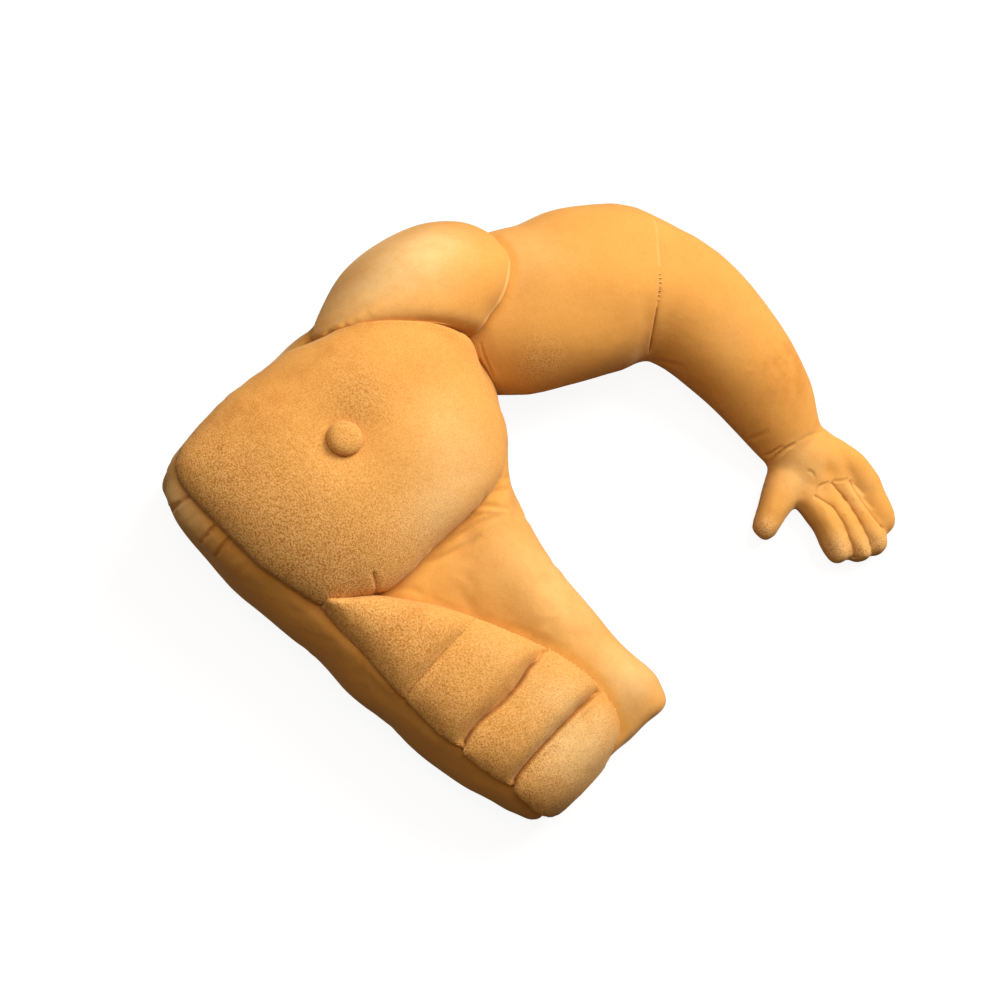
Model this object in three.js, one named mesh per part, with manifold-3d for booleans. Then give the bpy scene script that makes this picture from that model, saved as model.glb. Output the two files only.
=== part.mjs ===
// A backrest pillow sewn as half a torso with one arm, lying on its back.
// Millimetres, +Z up. The back lies on z = 0, +Y points to the shoulders and +X to the arm.
// Every piece is a filled solid. Neighbours are cut clear of each other by a small gap.
import * as THREE from "three";
import { mergeVertices } from "three/addons/utils/BufferGeometryUtils.js";
import Module from "manifold-3d";

const wasm = await Module();
wasm.setup();
const { lerp, clamp } = THREE.MathUtils;

// Driving sizes.
const GAP = 0.4; // clear space between neighbouring pieces
const SMOOTH = 0.08; // how far a flat stretch may be thinned out
const ORIGIN = { x: 73.1, y: -25.3 }; // middle of the pillow's box, in the tables' own frame
const PLUSH_COLOUR = 0xe8a24a;
const PLUSH_ROUGHNESS = 0.92;

const TORSO = { stations: 42, around: 44, endRound: 16 };
const CHEST_VALLEY = { depth: 7, reach: 18 }; // how the torso dips towards the chest's seam
const ABS_VALLEY = { depth: 10, reach: 32 }; // and towards the seam beside the stomach
const CHEST = {
  around: 80,
  rings: 11,
  centreX: -88,
  centreY: 138,
  level: 116,
  crown: 47,
  fall: 2.3,
  shoulder: 0.6,
};
const DIMPLE = { x: -100, y: 146, depth: 9, reach: 30 };
const BUTTON = { diameter: 36, dome: 9, edge: 5, sink: 4, rings: 6, around: 28 };
const ABS = { stations: 48, across: 14, lift: 25, fall: 2.6, shoulder: 0.6, deep: 26 };
const CAP = {
  around: 60,
  rings: 9,
  centreX: 84,
  centreY: 206,
  level: 104,
  crown: 46,
  fall: 2.2,
  shoulder: 0.6,
};
const ARM = { around: 36, perRow: 2 };
const FINGER = { around: 16, perRow: 1 };

// The torso's sections from the hem up to the shoulders. left and right are its widest places,
// rim is the height of the seam over the side strip, crest the height of the flank's ridge,
// slant how many millimetres a section leans up the body for each millimetre to the right.
const TORSO_ROWS = [
  { y: -242, left: -198, right: -7, rim: 56, crest: 78, slant: -0.08 },
  { y: -228, left: -204, right: -4, rim: 66, crest: 89, slant: -0.06 },
  { y: -205, left: -211, right: -7, rim: 76, crest: 98, slant: -0.03 },
  { y: -170, left: -219, right: -10, rim: 84, crest: 102, slant: 0 },
  { y: -130, left: -225, right: -8, rim: 90, crest: 104, slant: 0 },
  { y: -90, left: -229, right: -3, rim: 95, crest: 106, slant: 0 },
  { y: -50, left: -233, right: 8, rim: 100, crest: 108, slant: 0 },
  { y: -14, left: -235, right: 20, rim: 105, crest: 109, slant: 0 },
  { y: 20, left: -237, right: 44, rim: 109, crest: 108, slant: 0 },
  { y: 60, left: -240, right: 77, rim: 112, crest: 106, slant: 0 },
  { y: 100, left: -242, right: 99, rim: 114, crest: 106, slant: 0 },
  { y: 145, left: -243, right: 116, rim: 116, crest: 106, slant: 0.02 },
  { y: 190, left: -242, right: 126, rim: 117, crest: 102, slant: 0.05 },
  { y: 219, left: -238, right: 116, rim: 117, crest: 96, slant: 0.045 },
  { y: 238, left: -228, right: 88, rim: 114, crest: 90, slant: 0.03 },
];

// One section of the torso, from its left foot over the top to its right foot.
// inward is millimetres from the widest place on that side, up a share of the named height.
const TORSO_SECTION = [
  { side: "left", inward: 24, height: "rim", up: 0 },
  { side: "left", inward: 9, height: "rim", up: 0.06 },
  { side: "left", inward: 2, height: "rim", up: 0.22 },
  { side: "left", inward: 0, height: "rim", up: 0.46 },
  { side: "left", inward: 2, height: "rim", up: 0.74 },
  { side: "left", inward: 8, height: "rim", up: 0.93 },
  { side: "left", inward: 22, height: "rim", up: 0.98 },
  { side: "left", inward: 60, height: "rim", up: 0.99 },
  { side: "right", inward: 104, height: "crest", up: 0.95 },
  { side: "right", inward: 62, height: "crest", up: 1 },
  { side: "right", inward: 32, height: "crest", up: 0.95 },
  { side: "right", inward: 12, height: "crest", up: 0.78 },
  { side: "right", inward: 0, height: "crest", up: 0.52 },
  { side: "right", inward: 3, height: "crest", up: 0.22 },
  { side: "right", inward: 11, height: "crest", up: 0.06 },
  { side: "right", inward: 30, height: "crest", up: 0 },
];

// How a crowned panel goes down under its seam: a share of its outline at each drop.
const PANEL_ROOT = [
  { share: 0.7, drop: 60 },
  { share: 0.95, drop: 30 },
  { share: 0.985, drop: 12 },
];

// The chest panel's seam, counter-clockwise from its lower corner at the side strip.
const CHEST_LOOP = [
  { x: -219, y: 51, z: 110 },
  { x: -196, y: 34, z: 110 },
  { x: -171, y: 20, z: 110 },
  { x: -140, y: 14, z: 111 },
  { x: -86, y: 12, z: 111 },
  { x: -30, y: 11, z: 109 },
  { x: 12, y: 17, z: 106 },
  { x: 41, y: 38, z: 102 },
  { x: 61, y: 70, z: 100 },
  { x: 75, y: 106, z: 102 },
  { x: 79, y: 139, z: 112 },
  { x: 61, y: 167, z: 126 },
  { x: 26, y: 200, z: 133 },
  { x: -12, y: 228, z: 129 },
  { x: -56, y: 248, z: 120 },
  { x: -110, y: 255, z: 116 },
  { x: -160, y: 257, z: 117 },
  { x: -204, y: 252, z: 117 },
  { x: -227, y: 238, z: 118 },
  { x: -234, y: 208, z: 118 },
  { x: -236, y: 150, z: 117 },
  { x: -230, y: 94, z: 114 },
];

// The shoulder cap's seam, counter-clockwise from its lower corner beside the chest.
const CAP_LOOP = [
  { x: 95, y: 137, z: 116 },
  { x: 120, y: 140, z: 117 },
  { x: 144, y: 143, z: 116 },
  { x: 164, y: 152, z: 115 },
  { x: 181, y: 165, z: 110 },
  { x: 191, y: 183, z: 100 },
  { x: 197, y: 206, z: 84 },
  { x: 189, y: 235, z: 68 },
  { x: 156, y: 261, z: 62 },
  { x: 106, y: 275, z: 62 },
  { x: 58, y: 276, z: 68 },
  { x: 12, y: 263, z: 80 },
  { x: -26, y: 246, z: 96 },
  { x: -24, y: 233, z: 120 },
  { x: 22, y: 202, z: 132 },
  { x: 62, y: 168, z: 127 },
];

// The stomach panel from under the chest down to the hem. Each row is a line across it.
const ABS_ROWS = [
  { y: 50, left: -218, right: -212, leftZ: 104, rightZ: 100 },
  { y: 34, left: -220, right: -190, leftZ: 104, rightZ: 101 },
  { y: 18, left: -221, right: -170, leftZ: 104, rightZ: 102 },
  { y: -6, left: -221, right: -151, leftZ: 103, rightZ: 102 },
  { y: -32, left: -223, right: -132, leftZ: 100, rightZ: 102 },
  { y: -66, left: -224, right: -113, leftZ: 96, rightZ: 101 },
  { y: -100, left: -222, right: -97, leftZ: 93, rightZ: 99 },
  { y: -138, left: -220, right: -80, leftZ: 89, rightZ: 97 },
  { y: -170, left: -214, right: -71, leftZ: 84, rightZ: 93 },
  { y: -203, left: -207, right: -66, leftZ: 77, rightZ: 88 },
  { y: -226, left: -202, right: -69, leftZ: 67, rightZ: 79 },
  { y: -245, left: -196, right: -76, leftZ: 53, rightZ: 65 },
  { y: -256, left: -186, right: -88, leftZ: 38, rightZ: 48 },
  { y: -262, left: -172, right: -106, leftZ: 28, rightZ: 34 },
];

// The stitched lines across the stomach. The padding falls steeply to a line from above it
// and rises slowly again below it.
const ABS_SEAMS = [
  { y: -67, depth: 9, above: 8, below: 14 },
  { y: -139, depth: 16, above: 8, below: 18 },
  { y: -203, depth: 15, above: 8, below: 18 },
];

// The arm's sections, from inside the shoulder to the wrist. press is how far it lies flat.
const ARM_ROWS = [
  { x: 96, y: 166, wide: 120, thick: 92, press: 0, part: "upper_arm" },
  { x: 124, y: 149, wide: 150, thick: 114, press: 4, part: "upper_arm" },
  { x: 158, y: 133, wide: 174, thick: 125, press: 5, part: "upper_arm" },
  { x: 193, y: 114, wide: 175, thick: 131, press: 5, part: "upper_arm" },
  { x: 228, y: 98, wide: 184, thick: 133, press: 5, part: "upper_arm" },
  { x: 258, y: 84, wide: 185, thick: 131, press: 5, part: "upper_arm" },
  { x: 278, y: 72, wide: 174, thick: 128, press: 5, part: "upper_arm" },
  { x: 294, y: 54, wide: 162, thick: 122, press: 5, part: "forearm" },
  { x: 312, y: 27, wide: 147, thick: 115, press: 5, part: "forearm" },
  { x: 322, y: -14, wide: 135, thick: 107, press: 5, part: "forearm" },
  { x: 325, y: -54, wide: 127, thick: 98, press: 5, part: "forearm" },
  { x: 323, y: -94, wide: 115, thick: 88, press: 4, part: "forearm" },
  { x: 318, y: -130, wide: 100, thick: 75, press: 4, part: "forearm" },
  { x: 313, y: -160, wide: 87, thick: 61, press: 3, part: "forearm" },
  { x: 310, y: -179, wide: 78, thick: 50, press: 2, part: "forearm" },
];

// The hand: a palm, four fingers sewn side by side and a thumb, each a run of sections.
const HAND_ROWS = {
  palm: [
    { x: 310, y: -188, wide: 78, thick: 45, press: 2 },
    { x: 311, y: -202, wide: 80, thick: 43, press: 2 },
    { x: 312, y: -218, wide: 84, thick: 40, press: 2 },
    { x: 313, y: -236, wide: 86, thick: 36, press: 2 },
    { x: 312, y: -256, wide: 70, thick: 31, press: 2 },
  ],
  index: [
    { x: 286, y: -216, wide: 48, thick: 34, press: 2 },
    { x: 277, y: -243, wide: 31, thick: 36, press: 2 },
    { x: 271, y: -266, wide: 28, thick: 37, press: 2 },
    { x: 263, y: -284, wide: 30, thick: 36, press: 2 },
    { x: 260, y: -294, wide: 28, thick: 33, press: 2 },
  ],
  middle: [
    { x: 296, y: -226, wide: 28, thick: 34, press: 2 },
    { x: 292, y: -254, wide: 25, thick: 36, press: 2 },
    { x: 286, y: -280, wide: 25, thick: 36, press: 2 },
    { x: 279, y: -298, wide: 26, thick: 35, press: 2 },
    { x: 276, y: -309, wide: 24, thick: 32, press: 2 },
  ],
  ring: [
    { x: 318, y: -230, wide: 30, thick: 34, press: 2 },
    { x: 312, y: -258, wide: 29, thick: 36, press: 2 },
    { x: 305, y: -284, wide: 29, thick: 36, press: 2 },
    { x: 300, y: -304, wide: 28, thick: 35, press: 2 },
    { x: 298, y: -316, wide: 26, thick: 32, press: 2 },
  ],
  little: [
    { x: 337, y: -214, wide: 38, thick: 34, press: 2 },
    { x: 340, y: -242, wide: 36, thick: 38, press: 2 },
    { x: 337, y: -268, wide: 36, thick: 37, press: 2 },
    { x: 328, y: -292, wide: 34, thick: 35, press: 2 },
    { x: 321, y: -306, wide: 33, thick: 32, press: 2 },
  ],
  thumb: [
    { x: 297, y: -196, wide: 30, thick: 34, press: 2 },
    { x: 276, y: -203, wide: 47, thick: 37, press: 2 },
    { x: 257, y: -208, wide: 40, thick: 36, press: 2 },
    { x: 239, y: -213, wide: 31, thick: 34, press: 2 },
    { x: 220, y: -219, wide: 27, thick: 30, press: 2 },
  ],
};

// Columns of a table, read at count places on a smooth curve through its rows.
function sampleRows(rows, columns, count, closed) {
  const sampled = Array.from({ length: count }, () => ({}));
  for (let first = 0; first < columns.length; first += 3) {
    const three = columns.slice(first, first + 3);
    const points = rows.map((row) => new THREE.Vector3(...three.map((name) => row[name])));
    const curve = new THREE.CatmullRomCurve3(points, closed, "catmullrom", 0.5);
    sampled.forEach((sample, i) => {
      const point = curve.getPoint(closed ? i / count : i / (count - 1));
      three.forEach((name, axis) => (sample[name] = point.getComponent(axis)));
    });
  }
  return sampled;
}

function solidFromGeometry(geometry) {
  geometry.deleteAttribute("normal");
  geometry.deleteAttribute("uv");
  const merged = mergeVertices(geometry, 1e-3);
  const vertProperties = merged.attributes.position.array;
  const triVerts = new Uint32Array(merged.index.array);
  const make = () => new wasm.Manifold(new wasm.Mesh({ numProp: 3, vertProperties, triVerts }));
  const solid = make();
  if (solid.volume() > 0) return solid;
  triVerts.reverse();
  return make();
}

// A solid between stacked rings of equal length, closed at both ends.
function solidFromRings(rings) {
  const around = rings[0].length;
  const middleOf = (ring) => {
    const sum = ring.reduce((total, point) => total.add(point), new THREE.Vector3());
    return sum.divideScalar(around);
  };
  const points = [...rings.flat(), middleOf(rings[0]), middleOf(rings.at(-1))];
  const first = rings.length * around;
  const lastRing = first - around;
  const faces = [];
  for (let i = 0; i < around; i++) {
    const next = (i + 1) % around;
    for (let k = 0; k + 1 < rings.length; k++) {
      const [low, high] = [k * around, (k + 1) * around];
      faces.push(low + i, low + next, high + next, low + i, high + next, high + i);
    }
    faces.push(first, next, i, first + 1, lastRing + i, lastRing + next);
  }
  return solidFromGeometry(new THREE.BufferGeometry().setFromPoints(points).setIndex(faces));
}

// How far a place lies from the nearest of a seam's points, seen from above.
function distanceTo(seam, x, y) {
  return Math.min(...seam.map((point) => Math.hypot(x - point.x, y - point.y)));
}

// Moves each point of a counter-clockwise loop outwards, square to the loop.
function spread(loop, amount) {
  return loop.map((point, i) => {
    const before = loop[(i + loop.length - 1) % loop.length];
    const after = loop[(i + 1) % loop.length];
    const along = new THREE.Vector2(after.x - before.x, after.y - before.y).normalize();
    return new THREE.Vector3(point.x + along.y * amount, point.y - along.x * amount, point.z);
  });
}

// How far the torso dips beside its seams.
function dipAt(valleys, x, y) {
  const dips = valleys.map(({ seam, depth, reach }) => {
    const far = distanceTo(seam, x, y) / reach;
    return depth * Math.exp(-(far ** 2));
  });
  return Math.max(...dips);
}

function torsoRing(row, valleys, grow) {
  const outwards = { left: -grow, right: grow };
  const corners = TORSO_SECTION.map(({ side, inward, height, up }) => {
    const x = row[side] + outwards[side] + (side === "left" ? inward : -inward);
    const y = row.y + row.slant * (x - (row.left + row.right) / 2);
    return new THREE.Vector3(x, y, up * row[height] + (up > 0.5 ? grow : 0));
  });
  const points = new THREE.CatmullRomCurve3(corners, false, "catmullrom", 0.5).getPoints(TORSO.around);
  return points.map((point) => {
    const raised = clamp(point.z / row.rim - 0.5, 0, 0.5) * 2;
    const z = Math.max(point.z - dipAt(valleys, point.x, point.y) * raised, 0);
    return new THREE.Vector3(point.x, point.y, z - (z === 0 ? grow : 0));
  });
}

// Rings that round off the end of a loft, past its last ring.
function roundedEnd(ring, direction, depth, turns) {
  const middle = new THREE.Box3().setFromPoints(ring).getCenter(new THREE.Vector3());
  return turns.map((degrees) => {
    const turn = THREE.MathUtils.degToRad(degrees);
    return ring.map((point) => {
      const away = point.clone().sub(middle);
      const kept = 1 - (depth * (1 - Math.cos(turn))) / Math.max(away.length(), depth * 1.02);
      return middle.clone().addScaledVector(away, kept).addScaledVector(direction, depth * Math.sin(turn));
    });
  });
}

function torsoSolid(grow) {
  const chestSeam = sampleRows(CHEST_LOOP, ["x", "y", "z"], CHEST.around, true);
  const absSeam = sampleRows(ABS_ROWS, ["right", "y", "rightZ"], ABS.stations, false);
  const valleys = [
    { seam: chestSeam, ...CHEST_VALLEY },
    { seam: absSeam.map(({ right, y }) => ({ x: right, y })), ...ABS_VALLEY },
  ];
  const columns = ["y", "left", "right", "rim", "crest", "slant"];
  const rows = sampleRows(TORSO_ROWS, columns, TORSO.stations, false);
  const rings = rows.map((row) => torsoRing(row, valleys, grow));
  const hem = roundedEnd(rings[0], new THREE.Vector3(0, -1, 0), TORSO.endRound + grow, [75, 50, 25]);
  const top = roundedEnd(rings.at(-1), new THREE.Vector3(0, 1, 0), TORSO.endRound + grow, [25, 50, 75]);
  return solidFromRings([...hem, ...rings, ...top]);
}

function hollowAt(x, y, hollow) {
  const far = Math.hypot(x - hollow.x, y - hollow.y) / hollow.reach;
  return hollow.depth * Math.exp(-(far ** 2));
}

// A crowned panel on its seam. Its underside tapers down into the piece that carries it.
function crownedSolid(rows, sizes, hollow, grow) {
  const seam = spread(sampleRows(rows, ["x", "y", "z"], sizes.around, true), grow);
  const reach = seam.map((point) => Math.hypot(point.x - sizes.centreX, point.y - sizes.centreY));
  const meanReach = reach.reduce((total, far) => total + far) / reach.length;
  const towards = (point, share, z) => {
    const far = Math.hypot(point.x - sizes.centreX, point.y - sizes.centreY);
    const kept = (share * lerp(meanReach, far, Math.sqrt(share))) / far;
    const x = lerp(sizes.centreX, point.x, kept);
    const y = lerp(sizes.centreY, point.y, kept);
    return new THREE.Vector3(x, y, z - (hollow ? hollowAt(x, y, hollow) : 0));
  };
  const rings = PANEL_ROOT.map(({ share, drop }) =>
    seam.map((point) => towards(point, share, point.z - drop)),
  );
  for (let k = 0; k <= sizes.rings; k++) {
    const share = Math.cos((k / (sizes.rings + 0.5)) * (Math.PI / 2));
    const rise = (sizes.crown + grow) * (1 - share ** sizes.fall) ** sizes.shoulder;
    rings.push(seam.map((point) => towards(point, share, lerp(sizes.level, point.z, share ** 2) + rise)));
  }
  return solidFromRings(rings);
}

// How far the stitched lines pull the padding down at a place along the panel.
function stitchedDown(y) {
  const pulls = ABS_SEAMS.map((seam) => {
    const reach = y > seam.y ? seam.above : seam.below;
    return seam.depth * Math.exp(-Math.abs(y - seam.y) / reach);
  });
  return Math.max(...pulls);
}

function absSolid(grow) {
  const columns = ["y", "left", "right", "leftZ", "rightZ", "rightZ"];
  const rows = sampleRows(ABS_ROWS, columns, ABS.stations, false);
  const rings = rows.map((row) => {
    const top = [];
    const bottom = [];
    const half = (row.right - row.left) / 2 + grow;
    const middle = (row.right + row.left) / 2;
    for (let i = 0; i <= ABS.across; i++) {
      const u = -Math.cos((i / ABS.across) * Math.PI);
      const level = lerp(row.leftZ, row.rightZ, (u + 1) / 2);
      const body = Math.max(0, 1 - Math.abs(u) ** ABS.fall) ** ABS.shoulder;
      const rise = (ABS.lift - stitchedDown(row.y) + grow) * body;
      top.push(new THREE.Vector3(middle + half * u, row.y, level + rise));
      if (i > 0 && i < ABS.across) {
        bottom.push(new THREE.Vector3(middle + half * 0.94 * u, row.y, level - ABS.deep * body - 0.5));
      }
    }
    return [...top, ...bottom.reverse()];
  });
  return solidFromRings(rings);
}

// Oval sections square to the line through their middles, pressed flat where they lie down.
function tubeRings(rows, sizes, grow) {
  const count = (rows.length - 1) * sizes.perRow + 1;
  const columns = ["x", "y", "wide", "thick", "press", "press"];
  const stations = sampleRows(rows, columns, count, false);
  return stations.map((station, k) => {
    const before = stations[Math.max(0, k - 1)];
    const after = stations[Math.min(count - 1, k + 1)];
    const along = new THREE.Vector2(after.x - before.x, after.y - before.y).normalize();
    return Array.from({ length: sizes.around }, (_, i) => {
      const turn = (i / sizes.around) * 2 * Math.PI;
      const out = (station.wide / 2 + grow) * Math.cos(turn);
      const z = station.thick / 2 - station.press + (station.thick / 2 + grow) * Math.sin(turn);
      return new THREE.Vector3(station.x - along.y * out, station.y + along.x * out, Math.max(z, -grow));
    });
  });
}

// The same ring, a little further along its run.
function moved(rings, index, amount) {
  const step = new THREE.Vector3();
  const towards = index + 1 < rings.length ? index : index - 1;
  rings[towards].forEach((point, i) => step.add(rings[towards + 1][i]).sub(point));
  step.setZ(0).setLength(amount);
  return rings[index].map((point) => point.clone().add(step));
}

function armRings(part, grow) {
  const rings = tubeRings(ARM_ROWS, ARM, grow);
  const seam = ARM_ROWS.findIndex((row) => row.part === "forearm") * ARM.perRow;
  if (part === "upper_arm") return rings.slice(0, seam + 1);
  return [moved(rings, seam, GAP), ...rings.slice(seam + 1)];
}

function fingerSolid(rows) {
  const rings = tubeRings(rows, FINGER, 0);
  const [before, last] = rows.slice(-2);
  const direction = new THREE.Vector3(last.x - before.x, last.y - before.y, 0).normalize();
  const end = roundedEnd(rings.at(-1), direction, last.wide * 0.46, [30, 55, 75]);
  return solidFromRings([...rings, ...end]);
}

function handSolid() {
  const { palm, ...fingers } = HAND_ROWS;
  const arm = armRings("forearm", 0);
  const palmRings = [moved(arm, arm.length - 1, GAP), ...tubeRings(palm, ARM, 0)];
  const parts = Object.values(fingers).map(fingerSolid);
  return parts.reduce((hand, part) => hand.add(part), solidFromRings(palmRings));
}

// A covered button, domed above and rounded below where the thread pulls it in.
function buttonSolid() {
  const radius = BUTTON.diameter / 2;
  const profile = [new THREE.Vector2(0, -BUTTON.sink), new THREE.Vector2(radius * 0.8, -BUTTON.sink)];
  for (let k = 0; k <= BUTTON.rings; k++) {
    const turn = (k / BUTTON.rings) * (Math.PI / 2);
    const out = k === BUTTON.rings ? 0 : radius * Math.cos(turn) ** 0.7;
    profile.push(new THREE.Vector2(out, BUTTON.edge + BUTTON.dome * Math.sin(turn)));
  }
  const geometry = new THREE.LatheGeometry(profile, BUTTON.around).rotateX(Math.PI / 2);
  const seat = CHEST.level + CHEST.crown - DIMPLE.depth;
  return solidFromGeometry(geometry.translate(DIMPLE.x, DIMPLE.y, seat));
}

// The largest body of a cut piece, without the slivers a cut may leave.
function mainBody(solid) {
  return solid.decompose().reduce((best, body) => (body.volume() > best.volume() ? body : best));
}

const torsoRoom = torsoSolid(GAP);
const chestRoom = crownedSolid(CHEST_LOOP, CHEST, DIMPLE, GAP);
const upperArm = solidFromRings(armRings("upper_arm", 0)).subtract(torsoRoom).subtract(chestRoom);
const upperArmRoom = solidFromRings(armRings("upper_arm", GAP));
const pieces = {
  torso: torsoSolid(0),
  chest_pad: crownedSolid(CHEST_LOOP, CHEST, DIMPLE, 0).subtract(torsoRoom),
  abs_pad: absSolid(0).subtract(torsoRoom).subtract(chestRoom),
  shoulder_cap: crownedSolid(CAP_LOOP, CAP, null, 0)
    .subtract(torsoRoom)
    .subtract(chestRoom)
    .subtract(upperArmRoom),
  upper_arm: upperArm,
  forearm: solidFromRings(armRings("forearm", 0)),
  hand: handSolid(),
  button: buttonSolid().subtract(chestRoom),
};

const pillow = new THREE.Group();
pillow.position.set(-ORIGIN.x, -ORIGIN.y, 0);
for (const [name, solid] of Object.entries(pieces)) {
  const { vertProperties, triVerts } = mainBody(solid).simplify(SMOOTH).getMesh();
  const geometry = new THREE.BufferGeometry();
  geometry.setAttribute("position", new THREE.BufferAttribute(vertProperties, 3));
  geometry.setIndex(new THREE.BufferAttribute(triVerts, 1));
  const material = new THREE.MeshStandardMaterial({
    color: PLUSH_COLOUR,
    roughness: PLUSH_ROUGHNESS,
    metalness: 0,
  });
  const mesh = new THREE.Mesh(geometry, material);
  mesh.name = name;
  pillow.add(mesh);
}

export default pillow;
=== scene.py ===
"""A backrest pillow sewn as half a torso with one arm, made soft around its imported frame.

The pillow lies on its back: the back is at z = 0, +Y points to the shoulders and +X to the arm.
The tables of lines, folds, swells and pile are in millimetres, and other sizes are in metres.
"""

import math
from collections import namedtuple

import bmesh
import bpy
import numpy as np
from mathutils import Matrix, Vector
from mathutils.bvhtree import BVHTree


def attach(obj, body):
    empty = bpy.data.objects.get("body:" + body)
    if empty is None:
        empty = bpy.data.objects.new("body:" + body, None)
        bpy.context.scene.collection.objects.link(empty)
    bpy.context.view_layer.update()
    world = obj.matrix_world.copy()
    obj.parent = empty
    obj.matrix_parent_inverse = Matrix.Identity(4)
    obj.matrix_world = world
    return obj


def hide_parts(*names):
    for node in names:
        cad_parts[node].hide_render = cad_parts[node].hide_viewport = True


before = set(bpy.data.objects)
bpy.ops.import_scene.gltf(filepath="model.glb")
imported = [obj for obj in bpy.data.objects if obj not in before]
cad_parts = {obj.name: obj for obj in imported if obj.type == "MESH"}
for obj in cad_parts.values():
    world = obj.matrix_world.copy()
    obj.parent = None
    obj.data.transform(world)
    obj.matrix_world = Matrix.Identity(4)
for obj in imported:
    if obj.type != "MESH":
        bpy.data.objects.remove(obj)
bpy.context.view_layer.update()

bl_info = {
    "name": "Backrest pillow",
    "version": (1, 0, 0),
    "blender": (4, 5, 0),
    "location": "View3D > Sidebar > Pillow",
    "description": "Builds a plush backrest pillow around its packed frame",
    "category": "Object",
}

MM = 0.001
BODY = "root"

# The padded covers. rounds is how often a solid's facets are evened out, swell how far the filling
# may push the cloth out, slack how much wider than its solid the cloth is cut, as a share, and fill
# how firmly it is filled, from 0 to 1, which is not used.
Cover = namedtuple("Cover", "name nodes neighbours rounds swell slack fill slot")
TORSO = Cover(
    "torso_cover", ["torso"], ["chest_pad", "abs_pad", "shoulder_cap", "upper_arm"],
    rounds=8, swell=0.006, slack=0.004, fill=0.7, slot="plush",
)
CHEST = Cover(
    "chest_cover", ["chest_pad"], ["torso", "shoulder_cap", "upper_arm", "abs_pad"],
    rounds=6, swell=0.005, slack=0.0, fill=0.8, slot="plush",
)
STOMACH = Cover(
    "stomach_cover", ["abs_pad"], ["torso", "chest_pad"],
    rounds=3, swell=0.006, slack=0.002, fill=0.7, slot="plush",
)
CAP = Cover(
    "shoulder_cover", ["shoulder_cap"], ["torso", "chest_pad", "upper_arm"],
    rounds=6, swell=0.005, slack=0.0, fill=0.8, slot="plush",
)
ARM = Cover(
    "arm_cover", ["upper_arm", "forearm", "hand"], ["torso", "chest_pad", "shoulder_cap"],
    rounds=5, swell=0.005, slack=0.0, fill=0.8, slot="plush",
)
BUTTON = Cover(
    "button_cover_round", ["button"], ["chest_pad"],
    rounds=4, swell=0.0, slack=0.0, fill=0.9, slot="button_cover",
)
SNUG = 0.0005  # how far each cover is let out so that it meets its neighbours
BUTTON_TRIM = 0.0006  # how far the button's cloth is drawn in again
BUTTON_CELL = 0.0014  # mesh size of the button before it is subdivided
STOMACH_CELL = 0.9  # mesh size of the stomach, as a share of the other small pieces'

# Lines on the cloth, each through a few places. A place with two numbers is seen from above and
# drops onto the cloth, and a third number is its height.
CHEST_SEAM = [
    (-292, 76, 110), (-269, 59, 110), (-244, 45, 110), (-213, 39, 111), (-159, 37, 111),
    (-103, 36, 109), (-61, 42, 106), (-32, 63, 102), (-12, 95, 100), (3, 133, 104),
    (6, 164, 112), (-12, 192, 126), (-47, 225, 133), (-85, 253, 129), (-129, 273, 120),
    (-183, 280, 116), (-233, 282, 117), (-277, 277, 117), (-300, 263, 118), (-307, 233, 118),
    (-309, 175, 117), (-303, 119, 114),
]
CHEST_RIM = [
    (-97, 258, 120), (-75, 244, 127), (-53, 227, 131), (-33, 210, 130), (-13, 192, 126), (1, 174, 118),
    (7, 158, 112), (6, 140, 106),
]
CHEST_DART = [(-246, 44, 111), (-243, 51), (-239, 62)]
BUTTON_PIN = [(-178, 171), (-168, 171)]
STRIP_ROLL = [
    (-280, 277, 90), (-298, 266, 90), (-309, 245, 91), (-313, 220, 91), (-315, 190, 91), (-316, 160, 91),
    (-316, 115, 91),
]
CAP_SEAM = [
    (-97, 258, 120), (-74, 243, 127), (-51, 227, 131), (-31, 211, 130), (-11, 193, 126), (6, 177, 121),
    (22, 162, 116),
]
CAP_LIP = [
    (23, 162, 116), (36, 162, 119), (51, 164, 121), (62, 167, 123), (71, 171, 124), (83, 177, 125),
    (95, 185, 122), (105, 192, 116), (112, 200, 110),
]
CAP_EDGE = [(-68, 248), (-46, 232), (-26, 216), (-6, 198), (11, 182), (27, 168)]
STOMACH_EDGE = [
    (-222, 18), (-206, -5), (-188, -38), (-172, -74), (-155, -112), (-147, -144), (-142, -172),
]
ELBOW_SEAM = [
    (270, 121, 93), (259, 113), (248, 104), (231, 88), (217, 75), (204, 62), (192, 52), (182, 43), (173, 33),
    (169, 26, 66),
]
ELBOW_DEEP = ELBOW_SEAM[5:]  # where the seam is drawn in deeper, towards the inner elbow
ELBOW_SHADED = ELBOW_SEAM[6:]  # where shade is painted into the seam
ELBOW_WELT = [(265, 118), (257, 111), (248, 104), (238, 95), (229, 86), (223, 80)]
ELBOW_RUNGS = [(216, 74), (210, 68), (203, 62), (197, 56)]
FINGER_LINES = [
    [(205, -208), (209, -221), (211, -231), (209, -241), (206, -252), (200, -265), (196, -276),
     (193, -286, 18)],
    [(230, -212), (230, -223), (229, -235), (226, -248), (222, -261), (218, -273), (214, -286),
     (211, -296, 14)],
    [(248, -225), (244, -236), (242, -246), (240, -258), (238, -272), (237, -283), (239, -294, 15)],
]
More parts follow.
